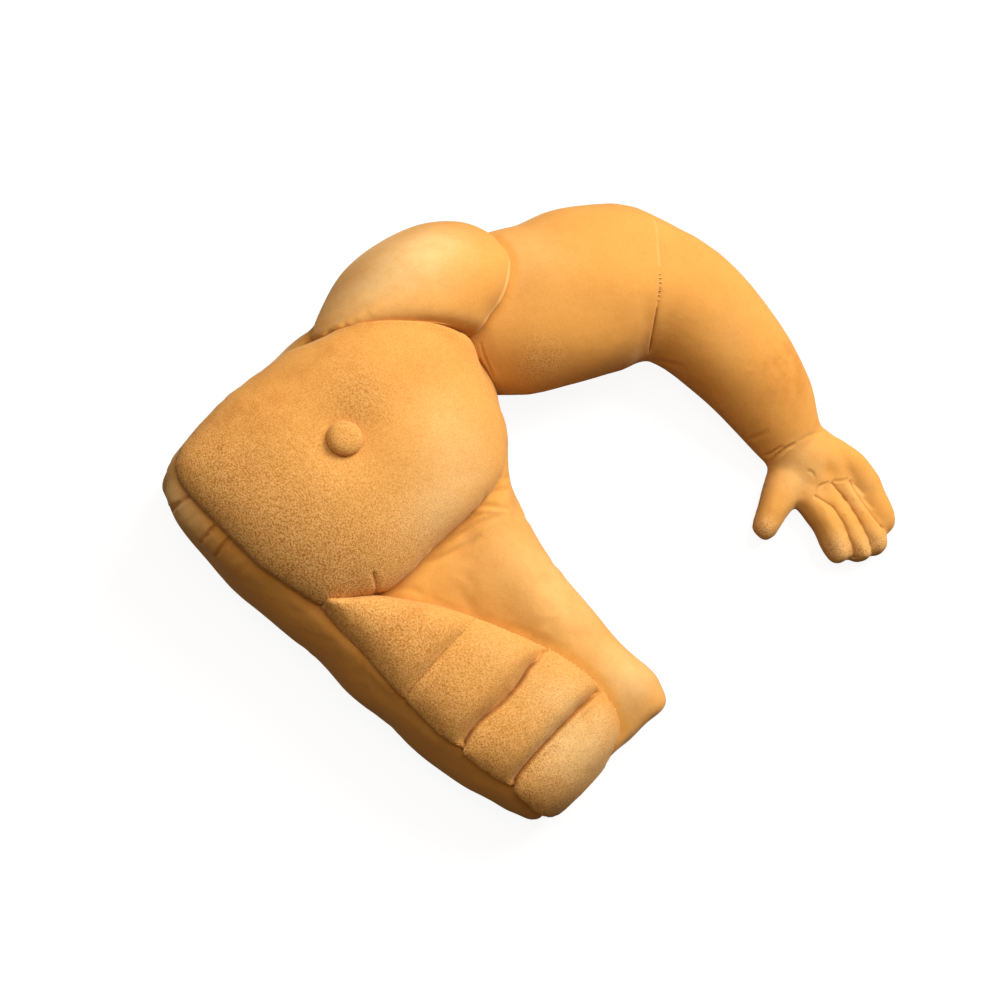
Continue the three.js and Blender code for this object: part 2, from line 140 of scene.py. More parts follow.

# Lines sewn across the stomach: their depth, their reach above and below, the length over which
# they run out at the right, and how much shade is painted in them.
Rib = namedtuple("Rib", "places depth above below fade parted")
SHALLOW_RIB = Rib(
    [(-298, -45, 92), (-290, -43), (-274, -41), (-246, -40), (-219, -39), (-190, -38)],
    depth=2.0, above=3.0, below=1.3, fade=6, parted=0.35,
)
DEEP_RIBS = [
    Rib(
        [(-294, -120, 76), (-285, -117), (-270, -114), (-256, -114), (-230, -116), (-204, -115),
         (-184, -112), (-156, -111)],
        depth=8.0, above=8.0, below=1.3, fade=11, parted=1.0,
    ),
    Rib(
        [(-282, -182, 68), (-272, -179), (-260, -177), (-237, -176), (-213, -176), (-190, -176),
         (-164, -177), (-143, -178)],
        depth=7.0, above=8.0, below=1.3, fade=10, parted=1.0,
    ),
]

# Folds laid one by one: places, depth and width, then how much shade is painted in them and how wide.
# A depth below zero is a welt that stands up.
Fold = namedtuple("Fold", "places depth width parted parted_width", defaults=(0.0, 1.6))
FLANK_FOLDS = [
    Fold([(-105, 38), (-94, 27), (-80, 12)], 3.2, 3.6, 0.22),
    Fold([(-88, 38), (-76, 33), (-62, 27)], 2.8, 3.0, 0.22),
    Fold([(-154, 35), (-136, 28), (-114, 23), (-88, 12)], 3.0, 4.4, 0.22),
    Fold([(-186, 37), (-168, 26), (-146, 19), (-122, 14)], 2.4, 4.4, 0.22),
    Fold([(-130, 36), (-112, 31), (-98, 22)], 2.2, 2.8, 0.22),
    Fold([(-224, 36), (-212, 24), (-206, 6)], 1.4, 5.0),
    Fold([(-66, 42), (-56, 36), (-42, 32, 84)], 1.4, 3.0),
]
STRIP_TUCKS = [
    Fold([(-304, 236, 113), (-309, 238, 92), (-312, 241, 64)], 4.6, 3.4, 0.8),
    Fold([(-305, 199, 113), (-310, 199, 99), (-313, 200, 82)], 4.8, 3.2, 0.8),
    Fold([(-307, 182, 112), (-311, 181, 96), (-314, 181, 80)], 3.6, 3.0, 0.8),
]
STRIP_FOLDS = [
    Fold([(-307, 152, 108), (-312, 152, 94), (-314, 153, 80)], 1.2, 4.0),
    Fold([(-298, 264, 110), (-303, 261, 88), (-307, 259, 66)], 1.6, 5.0),
    Fold([(-303, 246, 112), (-308, 250, 96)], 1.4, 2.4),
    Fold([(-306, 218, 112), (-312, 219, 98), (-315, 221, 88)], 1.4, 3.0),
    Fold([(-307, 166, 110), (-313, 166, 98), (-316, 167, 84)], 1.2, 3.0),
]
CHEST_FOLD = Fold([(-24, 108), (-17, 104), (-8, 97)], 1.2, 2.0)
CAP_FOLDS = [
    Fold(CAP_LIP, -1.6, 2.0),
    Fold([(-57, 226, 136), (-54, 228), (-51, 230)], 0.6, 1.4),
    Fold([(-19, 199, 132), (-16, 201), (-13, 203)], 0.6, 1.4),
    Fold([(11, 171, 120), (15, 173), (19, 175)], 0.6, 1.4),
]
ELBOW_FOLD = Fold(ELBOW_WELT, -0.9, 1.3)
ARM_FOLDS = [
    Fold([(198, -153, 20), (203, -150), (214, -151), (226, -154)], 2.4, 2.6, 0.2, 1.4),
    Fold([(222, -153), (240, -158), (258, -165), (268, -174, 30)], 0.5, 3.0),
    Fold([(195, -139, 24), (201, -143), (208, -145), (215, -147)], 1.6, 2.6),
    Fold([(188, -112, 26), (198, -118), (212, -124)], 1.0, 4.5),
    Fold([(176, 20, 50), (178, 4, 54), (186, -16, 62)], 1.2, 7.0),
    Fold([(208, -207), (215, -205), (222, -207), (229, -210)], 1.1, 2.2, 0.4, 1.2),
    Fold([(231, -211), (237, -216), (243, -220), (249, -222)], 1.0, 2.2, 0.4, 1.2),
    Fold([(217, -183), (220, -189), (219, -196)], 0.7, 2.4, 0.4, 1.2),
    Fold([(25, 152, 100), (21, 140, 93), (19, 128, 86), (18, 115, 74)], 2.0, 1.8),
]

# Where the filling stands up, or is missing below zero: a place, its height and its reach.
TORSO_SWELLS = [
    ((-315, 142, 38), 1.8, 46), ((-307, -4, 28), 1.2, 26), ((-291, -151, 32), 2.0, 26),
    ((-271, -213, 22), -2.6, 14), ((-98, -236, 60), 4.6, 18), ((-2, 72, 55), 3.0, 30),
    ((-56, -35, 45), -2.6, 44), ((-106, 275, 92), -6.0, 20), ((-306, 248, 100), 3.0, 16),
    ((-301, 267, 50), -3.5, 18),
]
CHEST_SWELLS = [((5, 162, 112), 6.0, 18), ((4, 138, 106), 3.0, 18), ((-112, 266, 120), -4.0, 18)]
ARM_SWELLS = [
    ((291, -127, 40), 3.4, 26), ((175, -276, 20), 3.0, 12), ((206, -300, 20), 3.0, 12),
    ((258, -281, 28), 3.2, 18), ((135, -203, 17), 2.6, 9), ((158, 22, 52), 2.6, 22),
    ((237, -203), -2.2, 9),
]

# Places round which the cloth is evened out.
HEM_CORNER = (-120, -212, 76)
INNER_ELBOW = (150, 30, 70)

# Pale patches of pile, and dark ones below zero: partly the nap lying pale or dark, partly painted light and
# painted shade on sides that face towards or away from the light. Each is a place, its reach and how much.
# The pale patches on top of the side strip are painted light, and the dark one at the hip is painted shade.
TORSO_NAP_AND_SHADING = [
    ((-112, -204), 42, 0.85), ((-120, -150), 50, 0.15), ((-100, -80), 50, 0.5), ((-120, -10), 50, 0.25),
    ((-300, 258, 90), 30, 0.9), ((-312, 225, 95), 34, 0.8), ((-110, -224, 70), 26, -0.4),
]
# The dark patches along the chest's left and top edges are painted shade.
CHEST_NAP_AND_SHADING = [
    ((-86, 108), 42, 0.3), ((-163, 59), 38, 0.6), ((-110, 60), 40, 0.5), ((-130, 190), 22, -0.35),
    ((-244, 253), 45, -0.75), ((-173, 266), 40, -0.6), ((-105, 240), 35, -0.55), ((-277, 82), 30, -0.9),
]
STOMACH_NAP_AND_SHADING = [
    ((-219, -201), 34, 0.9), ((-180, -205), 34, 0.6), ((-190, -150), 30, 0.5), ((-200, -80), 30, 0.2),
    ((-256, 4), 40, -0.9), ((-285, -60), 30, -0.4),
]
# On the cap the pale patches are painted light, on its lit top and along its seam with the chest.
CAP_NAP_AND_SHADING = [
    ((15, 262), 42, 1.0), ((-30, 265), 32, 0.5), ((60, 250), 34, 0.5), ((-60, 272), 30, 0.5),
    ((-96, 266), 14, -0.5),
]
ARM_NAP_AND_SHADING = [
    ((70, 205), 40, 0.4), ((130, 180), 40, 0.25), ((245, -40), 40, 0.15), ((212, -178), 34, 0.5),
    ((180, -264), 22, 0.5), ((215, -292), 20, 0.4), ((245, -240), 18, 0.3), ((237, -203), 9, -0.25),
    ((217, -198), 6, -0.15), ((138, -195), 14, 0.5), ((200, -120), 24, -0.4), ((185, -40), 22, -0.3),
    ((269, -94), 40, -0.85), ((150, 32, 80), 30, -0.5),
]

# How coarse the pile is, from 0 to 1: at least, all over a cover, and how much more round a few
# places, each with its reach.
TORSO_COARSE = 0.08
CHEST_COARSE = 0.20
STOMACH_COARSE = 0.32
CAP_COARSE = 0.1
ARM_COARSE = 0.08
BUTTON_COARSE = 0.5
CHEST_SPECK = ((-135, 190), 30, 0.35)
ARM_SPECKS = [
    ((58, 92), 26, 0.55), ((138, -195), 13, 0.55), ((178, -264), 14, 0.55), ((200, -290), 14, 0.55),
    ((222, -298), 11, 0.55),
]

# Camera and lights. Places are in the frame's metres.
SENSOR = 36.0  # width of the camera's sensor in millimetres
KEY_LIGHT = {"place": (2.9, 0.25, 2.65), "size": 2.9, "colour": (1.0, 0.98, 0.95)}
TOP_LIGHT = {"place": (-0.22, 0.8, 2.75), "size": 2.6, "colour": (1.0, 0.96, 0.90)}

COLOUR = {"subtype": "COLOR", "size": 3, "min": 0.0, "max": 1.0}
SHARE = {"min": 0.0, "max": 1.0}


class PlushSettings(bpy.types.PropertyGroup):
    """Colours and finish of the plush and its thread."""

    colour: bpy.props.FloatVectorProperty(
        name="Plush",
        description="Colour of the plush where its pile stands up",
        default=(0.715, 0.335, 0.073),
        **COLOUR,
    )
    # Also the colour that paints shade in dark patches and beside the seams.
    dark_nap_and_shade: bpy.props.FloatVectorProperty(
        name="Brushed plush",
        description="Colour of the plush where its pile lies the other way",
        default=(0.58, 0.235, 0.041),
        **COLOUR,
    )
    # Also the colour that paints light on lit sides and ridges, such as the shoulder's lip and the elbow's
    # welt.
    pale: bpy.props.FloatVectorProperty(
        name="Pale plush",
        description="Colour of the tips of the coarse pile, and of pile that is brushed pale",
        default=(0.82, 0.50, 0.20),
        **COLOUR,
    )
    # Also the colour that paints shade in creases, seams and at the foot of the side wall.
    pit_and_shade: bpy.props.FloatVectorProperty(
        name="Pits",
        description="Colour of the ground between the tufts, and where the pile is parted",
        default=(0.34, 0.125, 0.022),
        **COLOUR,
    )
    thread: bpy.props.FloatVectorProperty(
        name="Thread",
        description="Colour of the sewing thread",
        default=(0.42, 0.17, 0.03),
        **COLOUR,
    )
    roughness: bpy.props.FloatProperty(
        name="Roughness",
        description="How matt the plush is",
        default=0.88,
        **SHARE,
    )
    sheen: bpy.props.FloatProperty(
        name="Sheen",
        description="How much the pile glows where it is seen edge on",
        default=0.4,
        **SHARE,
    )
    grain: bpy.props.FloatProperty(
        name="Grain",
        description="Width of one tuft of the coarse pile",
        default=0.00086,
        min=0.0005,
        unit="LENGTH",
    )


class PaddingSettings(bpy.types.PropertyGroup):
    """How the padded pieces are meshed and filled."""

    cell: bpy.props.FloatProperty(
        name="Cell",
        description="Mesh size of the torso before it is subdivided",
        default=0.005,
        min=0.002,
        unit="LENGTH",
    )
    small_cell: bpy.props.FloatProperty(
        name="Small cell",
        description="Mesh size of the other covers before they are subdivided",
        default=0.0043,
        min=0.001,
        unit="LENGTH",
    )
    pressure: bpy.props.FloatProperty(
        name="Pressure",
        description="How hard the filling pushes the cloth out",
        default=4.0,
        min=0.0,
    )
    steps: bpy.props.IntProperty(
        name="Steps",
        description="Frames for which the cloth is simulated",
        default=20,
        min=1,
    )


class SewingSettings(bpy.types.PropertyGroup):
    """Sizes of the stitches."""

    pitch: bpy.props.FloatProperty(
        name="Pitch",
        description="Distance between stitches",
        default=0.0042,
        min=0.001,
        unit="LENGTH",
    )
    length: bpy.props.FloatProperty(
        name="Stitch length",
        description="Length of one stitch",
        default=0.0026,
        min=0.0005,
        unit="LENGTH",
    )
    rung: bpy.props.FloatProperty(
        name="Rung width",
        description="How far a ladder stitch reaches across its seam",
        default=0.0055,
        min=0.0005,
        unit="LENGTH",
    )
    thickness: bpy.props.FloatProperty(
        name="Thread thickness",
        description="Thickness of the thread",
        default=0.0008,
        min=0.0002,
        unit="LENGTH",
    )


class StageSettings(bpy.types.PropertyGroup):
    """Camera, paper and lights."""

    distance: bpy.props.FloatProperty(
        name="Camera distance",
        description="From the camera to the point it looks at",
        default=2.3,
        min=0.5,
        unit="LENGTH",
    )
    target: bpy.props.FloatVectorProperty(
        name="Camera target",
        description="The point that the camera looks at",
        subtype="TRANSLATION",
        size=3,
        unit="LENGTH",
        default=(-0.0731, 0.0253, 0.08),
    )
    tilt: bpy.props.FloatProperty(
        name="Camera tilt",
        description="How far the camera leans from straight above",
        default=math.radians(22),
        subtype="ANGLE",
    )
    roll: bpy.props.FloatProperty(
        name="Camera roll",
        description="How far the camera is turned about its line of sight",
        default=math.radians(45),
        subtype="ANGLE",
    )
    lens: bpy.props.FloatProperty(
        name="Lens",
        description="Focal length in millimetres",
        default=82.8,
        min=10.0,
    )
    reach: bpy.props.FloatProperty(
        name="Paper",
        description="How far the floor reaches each way, and how high the backdrop stands",
        default=6.0,
        min=1.0,
        unit="LENGTH",
    )
    key: bpy.props.FloatProperty(
        name="Key light",
        description="Power of the large light beside the arm",
        default=225.0,
        min=0.0,
    )
    top: bpy.props.FloatProperty(
        name="Top light",
        description="Power of the wide light overhead",
        default=40.0,
        min=0.0,
    )
    fill: bpy.props.FloatProperty(
        name="Fill light",
        description="Strength of the even light from all round",
        default=0.12,
        min=0.0,
    )
    fill_colour: bpy.props.FloatVectorProperty(
        name="Fill colour",
        description="Colour of the even light, warm like light thrown back by the plush",
        default=(1.0, 0.66, 0.30),
        **COLOUR,
    )
    floor: bpy.props.FloatVectorProperty(
        name="Floor",
        description="Colour of the paper on the floor and behind it",
        default=(0.12, 0.12, 0.12),
        **COLOUR,
    )
    floor_glow: bpy.props.FloatProperty(
        name="Floor glow",
        description="How bright the paper is of itself, like a light table",
        default=0.92,
        min=0.0,
    )


class Value:
    """A shader socket that can be used in sums."""

    def __init__(self, desk, socket):
        self.desk = desk
        self.socket = socket

    def _math(self, operation, first, second):
        return self.desk.node("ShaderNodeMath", {"operation": operation}, {0: first, 1: second})

    def __add__(self, other):
        return self._math("ADD", self, other)

    __radd__ = __add__

    def __sub__(self, other):
        return self._math("SUBTRACT", self, other)

    def __rsub__(self, other):
        return self._math("SUBTRACT", other, self)

    def __mul__(self, other):
        return self._math("MULTIPLY", self, other)

    __rmul__ = __mul__


class Desk:
    """Makes the nodes of one material."""

    def __init__(self, name):
        self.material = bpy.data.materials.new(name)
        self.material.use_nodes = True
        self.tree = self.material.node_tree
        self.tree.nodes.clear()

    def node(self, kind, settings=None, inputs=None, output=0):
        """A node of a kind: its settings first, then the values or links of its sockets."""
        made = self.tree.nodes.new(kind)
        for name, value in (settings or {}).items():
            if name == "stops":
                self._set_stops(made.color_ramp, value)
            else:
                setattr(made, name, value)
        for name, value in (inputs or {}).items():
            if isinstance(value, Value):
                self.tree.links.new(value.socket, made.inputs[name])
            else:
                made.inputs[name].default_value = value
        return Value(self, made.outputs[output]) if len(made.outputs) else made

    def _set_stops(self, ramp, stops):
        while len(ramp.elements) > 1:
            ramp.elements.remove(ramp.elements[-1])
        for index, (place, shade) in enumerate(stops):
            element = ramp.elements[0] if index == 0 else ramp.elements.new(place)
            element.position = place
            element.color = (shade, shade, shade, 1.0)

    def ramp(self, value, *stops):
        """A number led through stops of place and result."""
        return self.node("ShaderNodeValToRGB", {"stops": stops}, {"Fac": value})

    def mixed(self, share, first, second):
        """Two colours mixed by a share."""
        sockets = {0: share, 6: first, 7: second}
        return self.node("ShaderNodeMix", {"data_type": "RGBA"}, sockets, output=2)

    def noise(self, places, scale, detail=2.0, roughness=0.5):
        """Soft noise with about scale marks to a metre."""
        sockets = {"Vector": places, "Scale": scale, "Detail": detail, "Roughness": roughness}
        return self.node("ShaderNodeTexNoise", {}, sockets)

    def places(self, stretch=(1.0, 1.0, 1.0)):
        """Places on the piece in metres. Marks are longer where stretch is below 1."""
        coordinates = self.node("ShaderNodeTexCoord", output=3)
        return self.node("ShaderNodeMapping", {}, {"Vector": coordinates, "Scale": stretch})

    def stored(self, name):
        """A number kept at each of the mesh's points."""
        return self.node("ShaderNodeAttribute", {"attribute_name": name}, output=2)

    def bump(self, height, strength, distance):
        sockets = {"Height": height, "Strength": strength, "Distance": distance}
        return self.node("ShaderNodeBump", {}, sockets)

    def finished(self, sockets):
        """The material, with one surface of these values and links."""
        surface = self.node("ShaderNodeBsdfPrincipled", {}, sockets)
        self.node("ShaderNodeOutputMaterial", {}, {"Surface": surface})
        return self.material


def opaque(colour):
    return (*colour, 1.0)


# The plush: marks to a metre, the stretch of its rows of pile, and the share that each pattern has
# in its colour and its relief.
BLOTCHES = 13.0
BRUSH_MARKS = 48.0
FIBRES_TO_A_TUFT = 1.9
ROW_STRETCH = (1.0, 0.4, 0.9)
FIBRE_STRETCH = (1.0, 0.5, 1.0)
BLOTCH_SHARE = 0.18
BRUSH_SHARE = 0.7
BRUSHED_LEAST = 0.24
# how strongly the stored dark pile, which holds nap and painted shade, darkens the colour
DARK_NAP_AND_SHADE_GAIN = 1.3
TIP_SHARE = 0.75
PIT_SHARE = 0.95
COARSE_LIFT = 0.12
PALE_LOSS = 0.35
FIBRE_RELIEF = 0.08
COARSE_RELIEF = 0.2
BRUSH_RELIEF = 0.35
SHEEN_TINT = (1.0, 0.80, 0.50)


def plush_material(name, settings):
    """Short plush with a pile laid by brushing. Stored shares say where it is coarse, where it lies pale or
    dark, which holds both nap and painted light and shade, and where shade is painted in creases.
    """
    desk = Desk(name)
    places = desk.places()
    coarse = desk.stored("coarse")
    rows = desk.noise(desk.places(ROW_STRETCH), 1.0 / settings.grain, detail=1.0)
    fibres = desk.noise(desk.places(FIBRE_STRETCH), FIBRES_TO_A_TUFT / settings.grain, detail=1.0)
    blotches = desk.ramp(desk.noise(places, BLOTCHES, detail=3.0), (0.36, 0.0), (0.66, 1.0))
    brushing = desk.noise(places, BRUSH_MARKS, detail=4.0, roughness=0.62)
    brushing = desk.ramp(brushing, (0.42, 0.0), (0.7, 1.0))
    tips = desk.ramp(rows, (0.50, 0.0), (0.60, 1.0))
    pits = desk.ramp(rows, (0.38, 1.0), (0.48, 0.0))
    marks = brushing * BRUSH_SHARE + (1 - BRUSH_SHARE)
    # The darker colour comes in with random marks and blotches, and with the stored dark pile, which holds
    # the nap and the painted shade.
    dark_nap_and_shade = blotches * BLOTCH_SHARE + marks * (BRUSHED_LEAST + desk.stored("dark_nap_and_shade") * DARK_NAP_AND_SHADE_GAIN)
    shade = desk.mixed(dark_nap_and_shade, opaque(settings.colour), opaque(settings.dark_nap_and_shade))
    # The stored pale share holds pale nap and painted light.
    pale = desk.stored("pale") * (1.0 - PALE_LOSS * brushing)
    lift = tips * coarse * TIP_SHARE + pale + coarse * COARSE_LIFT
    lifted = desk.mixed(lift, shade, opaque(settings.pale))
    # The colour of the pits shows between the tufts, and also paints shade in creases, seams and at the foot
    # of the side wall.
    ground_and_shade = pits * coarse * PIT_SHARE + desk.stored("parted")
    relief = rows * coarse + fibres * (FIBRE_RELIEF + coarse * COARSE_RELIEF) + brushing * BRUSH_RELIEF
    return desk.finished({
        "Base Color": desk.mixed(ground_and_shade, lifted, opaque(settings.pit_and_shade)),
        "Roughness": settings.roughness,
        "Specular IOR Level": 0.08,
        "Sheen Weight": settings.sheen,
        "Sheen Roughness": 0.4,
        "Sheen Tint": opaque(SHEEN_TINT),
        "Normal": desk.bump(relief, strength=0.7, distance=settings.grain),
    })


def thread_material(name, colour, shade):
    """Matt twisted thread, between two colours."""
    desk = Desk(name)
    twist = desk.noise(desk.places((1.0, 3.0, 1.0)), scale=900.0, detail=1.0)
    return desk.finished({
        "Base Color": desk.mixed(twist, opaque(colour), opaque(shade)),
        "Roughness": 0.6,
        "Specular IOR Level": 0.3,
        "Normal": desk.bump(twist, strength=0.4, distance=0.0002),
    })


def paper_material(settings):
    """Even pale paper that glows."""
    return Desk("floor").finished({
        "Base Color": opaque(settings.floor),
        "Roughness": 0.9,
        "Specular IOR Level": 0.1,
        "Emission Color": (1.0, 1.0, 1.0, 1.0),
        "Emission Strength": settings.floor_glow,
    })


def linked(name, data):
    """A new object at the origin with a mesh, a light or a camera."""
    made = bpy.data.objects.new(name, data)
    bpy.context.scene.collection.objects.link(made)
    return made


def baked(piece):
    """Turns a piece's modifiers into its plain mesh."""
    depsgraph = bpy.context.evaluated_depsgraph_get()
    mesh = bpy.data.meshes.new_from_object(piece.evaluated_get(depsgraph), depsgraph=depsgraph)
    piece.modifiers.clear()
    piece.data = mesh
    return piece


def points_of(mesh, field="co"):
    """The place of each point of a mesh, or its normal."""
    found = np.empty(len(mesh.vertices) * 3)
    mesh.vertices.foreach_get(field, found)
    return found.reshape(-1, 3)


def move_points(mesh, points):
    mesh.vertices.foreach_set("co", points.astype(np.float32).ravel())
    mesh.update()


# The share of the way to the middle of its neighbours that a point goes in one step, and the share
# that it goes back in the next one.
EVEN_STEP = 0.55
BACK_STEP = -0.565


def relaxed(mesh, points, rounds, kept=0.0, shrink=False):
    """Points evened out along their edges, without the loss of size that this brings unless wanted."""
    edges = np.empty(len(mesh.edges) * 2, np.int64)
    mesh.edges.foreach_get("vertices", edges)
    edges = edges.reshape(-1, 2)
    ends = np.concatenate([edges[:, 0], edges[:, 1]])
    others = np.concatenate([edges[:, 1], edges[:, 0]])
    count = np.maximum(np.bincount(ends, minlength=len(points)), 1)
    free = 1.0 - np.broadcast_to(kept, (len(points),))
    for step in range(rounds * 2):
        share = EVEN_STEP if shrink or step % 2 == 0 else BACK_STEP
        sums = [np.bincount(ends, weights=points[others, axis], minlength=len(points)) for axis in range(3)]
        middles = np.stack(sums, 1) / count[:, None]
        points = points + (middles - points) * (share * free)[:, None]
    return points


SAME_POINT = 1e-5


def remeshed_copy(cover, cell):
    """A cover's solids as one skin of even quads, with their facets smoothed away."""
    source = bmesh.new()
    for node in cover.nodes:
        source.from_mesh(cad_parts[node].data)
    bmesh.ops.remove_doubles(source, verts=source.verts, dist=SAME_POINT)
    source.normal_update()
    for vertex in source.verts:
        vertex.co += vertex.normal * SNUG
    mesh = bpy.data.meshes.new(cover.name)
    source.to_mesh(mesh)
    source.free()
    piece = linked(cover.name, mesh)
    remesh = piece.modifiers.new("Even quads", "REMESH")
    remesh.mode = "VOXEL"
    remesh.voxel_size = cell
    baked(piece)
    move_points(piece.data, relaxed(piece.data, points_of(piece.data), cover.rounds))
    return piece


def solid_tree(nodes):
    """A search tree of the faces of some CAD solids."""
    places = []
    faces = []
    for node in nodes:
        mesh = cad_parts[node].data
        faces += [[len(places) + index for index in face.vertices] for face in mesh.polygons]
        places += [vertex.co for vertex in mesh.vertices]
    return BVHTree.FromPolygons(places, faces)


HELD_LEAST = 0.01  # cloth that is held less than this is free


def filled(skin, pinned, settings):
    """Blows a cover's cloth up with its filling, held where it is pinned."""
    piece = skin.piece
    before = points_of(piece.data)
    group = piece.vertex_groups.new(name="sewn")
    for index, weight in enumerate(pinned):
        if weight > HELD_LEAST:
            group.add([index], float(weight), "REPLACE")
    cloth = piece.modifiers.new("Filling", "CLOTH")
    cloth.settings.vertex_group_mass = group.name
    cloth.settings.quality = 3
    cloth.settings.mass = 0.3
    cloth.settings.tension_stiffness = 15
    cloth.settings.compression_stiffness = 15
    cloth.settings.shear_stiffness = 5
    cloth.settings.bending_stiffness = 0.5
    cloth.settings.use_pressure = True
    cloth.settings.uniform_pressure_force = settings.pressure
    cloth.settings.shrink_min = -skin.cover.slack
    cloth.settings.effector_weights.gravity = 0.0
    cloth.collision_settings.use_collision = False
    cloth.point_cache.frame_start = 1
    cloth.point_cache.frame_end = settings.steps
    scene = bpy.context.scene
    for step in range(1, settings.steps + 1):
        scene.frame_set(step)
    baked(piece)
    scene.frame_set(1)
    piece.vertex_groups.clear()
    moved = points_of(piece.data) - before
    length = np.linalg.norm(moved, axis=1)
    moved *= (np.minimum(length, skin.cover.swell) / np.maximum(length, 1e-9))[:, None]
    move_points(piece.data, relaxed(piece.data, before + moved, 1))


def subdivided(piece):
    """Each quad made four, rounded."""
    finer = piece.modifiers.new("Finer", "SUBSURF")
    finer.levels = 1
    finer.render_levels = 1
    return baked(piece)


LINE_STEP = 0.002  # distance between the points of a line


def smooth_run(places, closed):
    """A smooth curve through places, in even steps."""
    places = np.asarray(places, float)
    count = len(places)
    samples = []
    for span in range(count if closed else count - 1):
        four = [span - 1, span, span + 1, span + 2]
        a, b, c, d = places[[step % count if closed else min(max(step, 0), count - 1) for step in four]]
        steps = max(2, int(np.linalg.norm(c - b) / LINE_STEP))
        for t in np.arange(steps) / steps:
            square = (2 * a - 5 * b + 4 * c - d) * t**2
            cube = (3 * b - a - 3 * c + d) * t**3
            samples.append(0.5 * (2 * b + (c - a) * t + square + cube))
    if not closed:
        samples.append(places[-1])
    return np.array(samples)


# Points of a mesh near a line: their indices, how far off it they are, how far along it, to which
# side, and which step of the line is nearest.
Near = namedtuple("Near", "chosen far along side nearest")
NORMAL_SPAN = 4  # steps each way over which a line's way out of the cloth is evened out


class Line:
    """A sewn line or a fold on the cloth, through places in millimetres."""

    def __init__(self, places, skin=None, closed=False):
        laid = [self._laid(place, skin) for place in places]
        self.points = smooth_run(laid, closed)
        steps = np.linalg.norm(np.diff(self.points, axis=0), axis=1)
        self.along = np.concatenate([[0.0], np.cumsum(steps)])
        self.length = self.along[-1]
        self.direction = np.gradient(self.points, axis=0)
        self.direction /= np.linalg.norm(self.direction, axis=1)[:, None]

    def _laid(self, place, skin):
        x, y = place[0] * MM, place[1] * MM
        if len(place) == 2:
            return (x, y, skin.height(x, y))
        given = Vector((x, y, place[2] * MM))
        return tuple(skin.tree.find_nearest(given)[0] if skin else given)

    def near(self, points, reach):
        """The points within reach of the line."""
        low = self.points.min(0) - reach
        high = self.points.max(0) + reach
        chosen = np.where(np.all((points > low) & (points < high), axis=1))[0]
        close = points[chosen]
        squares = (close**2).sum(1)[:, None] + (self.points**2).sum(1)[None] - 2 * close @ self.points.T
        nearest = squares.argmin(1)
        direction = self.direction[nearest]
        offset = close - self.points[nearest]
        along = (offset * direction).sum(1)
        across = offset - along[:, None] * direction
        beyond = np.where((nearest == 0) | (nearest == len(self.points) - 1), np.abs(along), 0.0)
        far = np.hypot(np.linalg.norm(across, axis=1), beyond)
        side = np.sign(direction[:, 0] * offset[:, 1] - direction[:, 1] * offset[:, 0])
        kept = far < reach
        along = self.along[nearest] + along
        return Near(chosen[kept], far[kept], along[kept], side[kept], nearest[kept])

    def outward(self, skin):
        """The way out of the cloth at each step of the line, evened out along it."""
        found = np.array([skin.tree.find_nearest(point)[1] for point in self.points])
        ends = np.pad(found, ((NORMAL_SPAN, NORMAL_SPAN), (0, 0)), mode="edge")
        found = sum(ends[shift : shift + len(found)] for shift in range(2 * NORMAL_SPAN + 1))
        return found / np.linalg.norm(found, axis=1)[:, None]


def eased(amounts):
    """Amounts held between 0 and 1, with soft ends."""
    held = np.clip(amounts, 0, 1)
    return held * held * (3 - 2 * held)


# An uneven wave is warped by two slower ones, and swells and ebbs with a third. Each has its speed
# as a share of the wave's own, and how much it counts.
FIRST_WARP = (0.31, 0.9)
SECOND_WARP = (0.57, 0.5)
EBB = (0.23, 0.38)


def uneven_wave(along, pitch, seed):
    """Ridges about a pitch apart, none like the next, from -1 to 1."""
    shifts = np.random.default_rng(seed).uniform(0, 2 * math.pi, 3)
    turn = 2 * math.pi * along / pitch
    first, second, ebb = (
        much * np.sin(turn * speed + shift)
        for (speed, much), shift in zip((FIRST_WARP, SECOND_WARP, EBB), shifts)
    )
    return np.sin(turn + (first + second) + shifts[1]) * (1 - EBB[1] + ebb)


# How many of its widths or reaches away from its line each kind of work is still done.
SOFT_REACHES = 2.5
SEAM_REACHES = 5
FOLD_REACHES = 3.5
PILE_REACHES = 3

# The length over which a seam is drawn in at its start, and painted shade along a line fades at
# its ends, and how far on each kind of work already is at the very end of its line.
SEAM_START = 0.003
SHADE_END = 0.004
SEAM_FIRST = 0.5
SEAM_LAST = 0.3
PUCKER_LAST = 0.4
SHADE_LAST = 0.3
FOLD_RIDGE = 0.9  # how much of a fold's cloth gathers beside it
FOLD_TAPER = 0.7  # below 1, a fold is blunt at its ends
LUMP_WAVES = 14
LUMP_SPREAD = (0.6, 1.5)
OVERHEAD = 1.0  # a height that is above the whole pillow
HALF_HIGH = 0.05  # a height within the pillow
SMOOTH_EDGE = 1.6  # how sharply smoothing starts within its reach


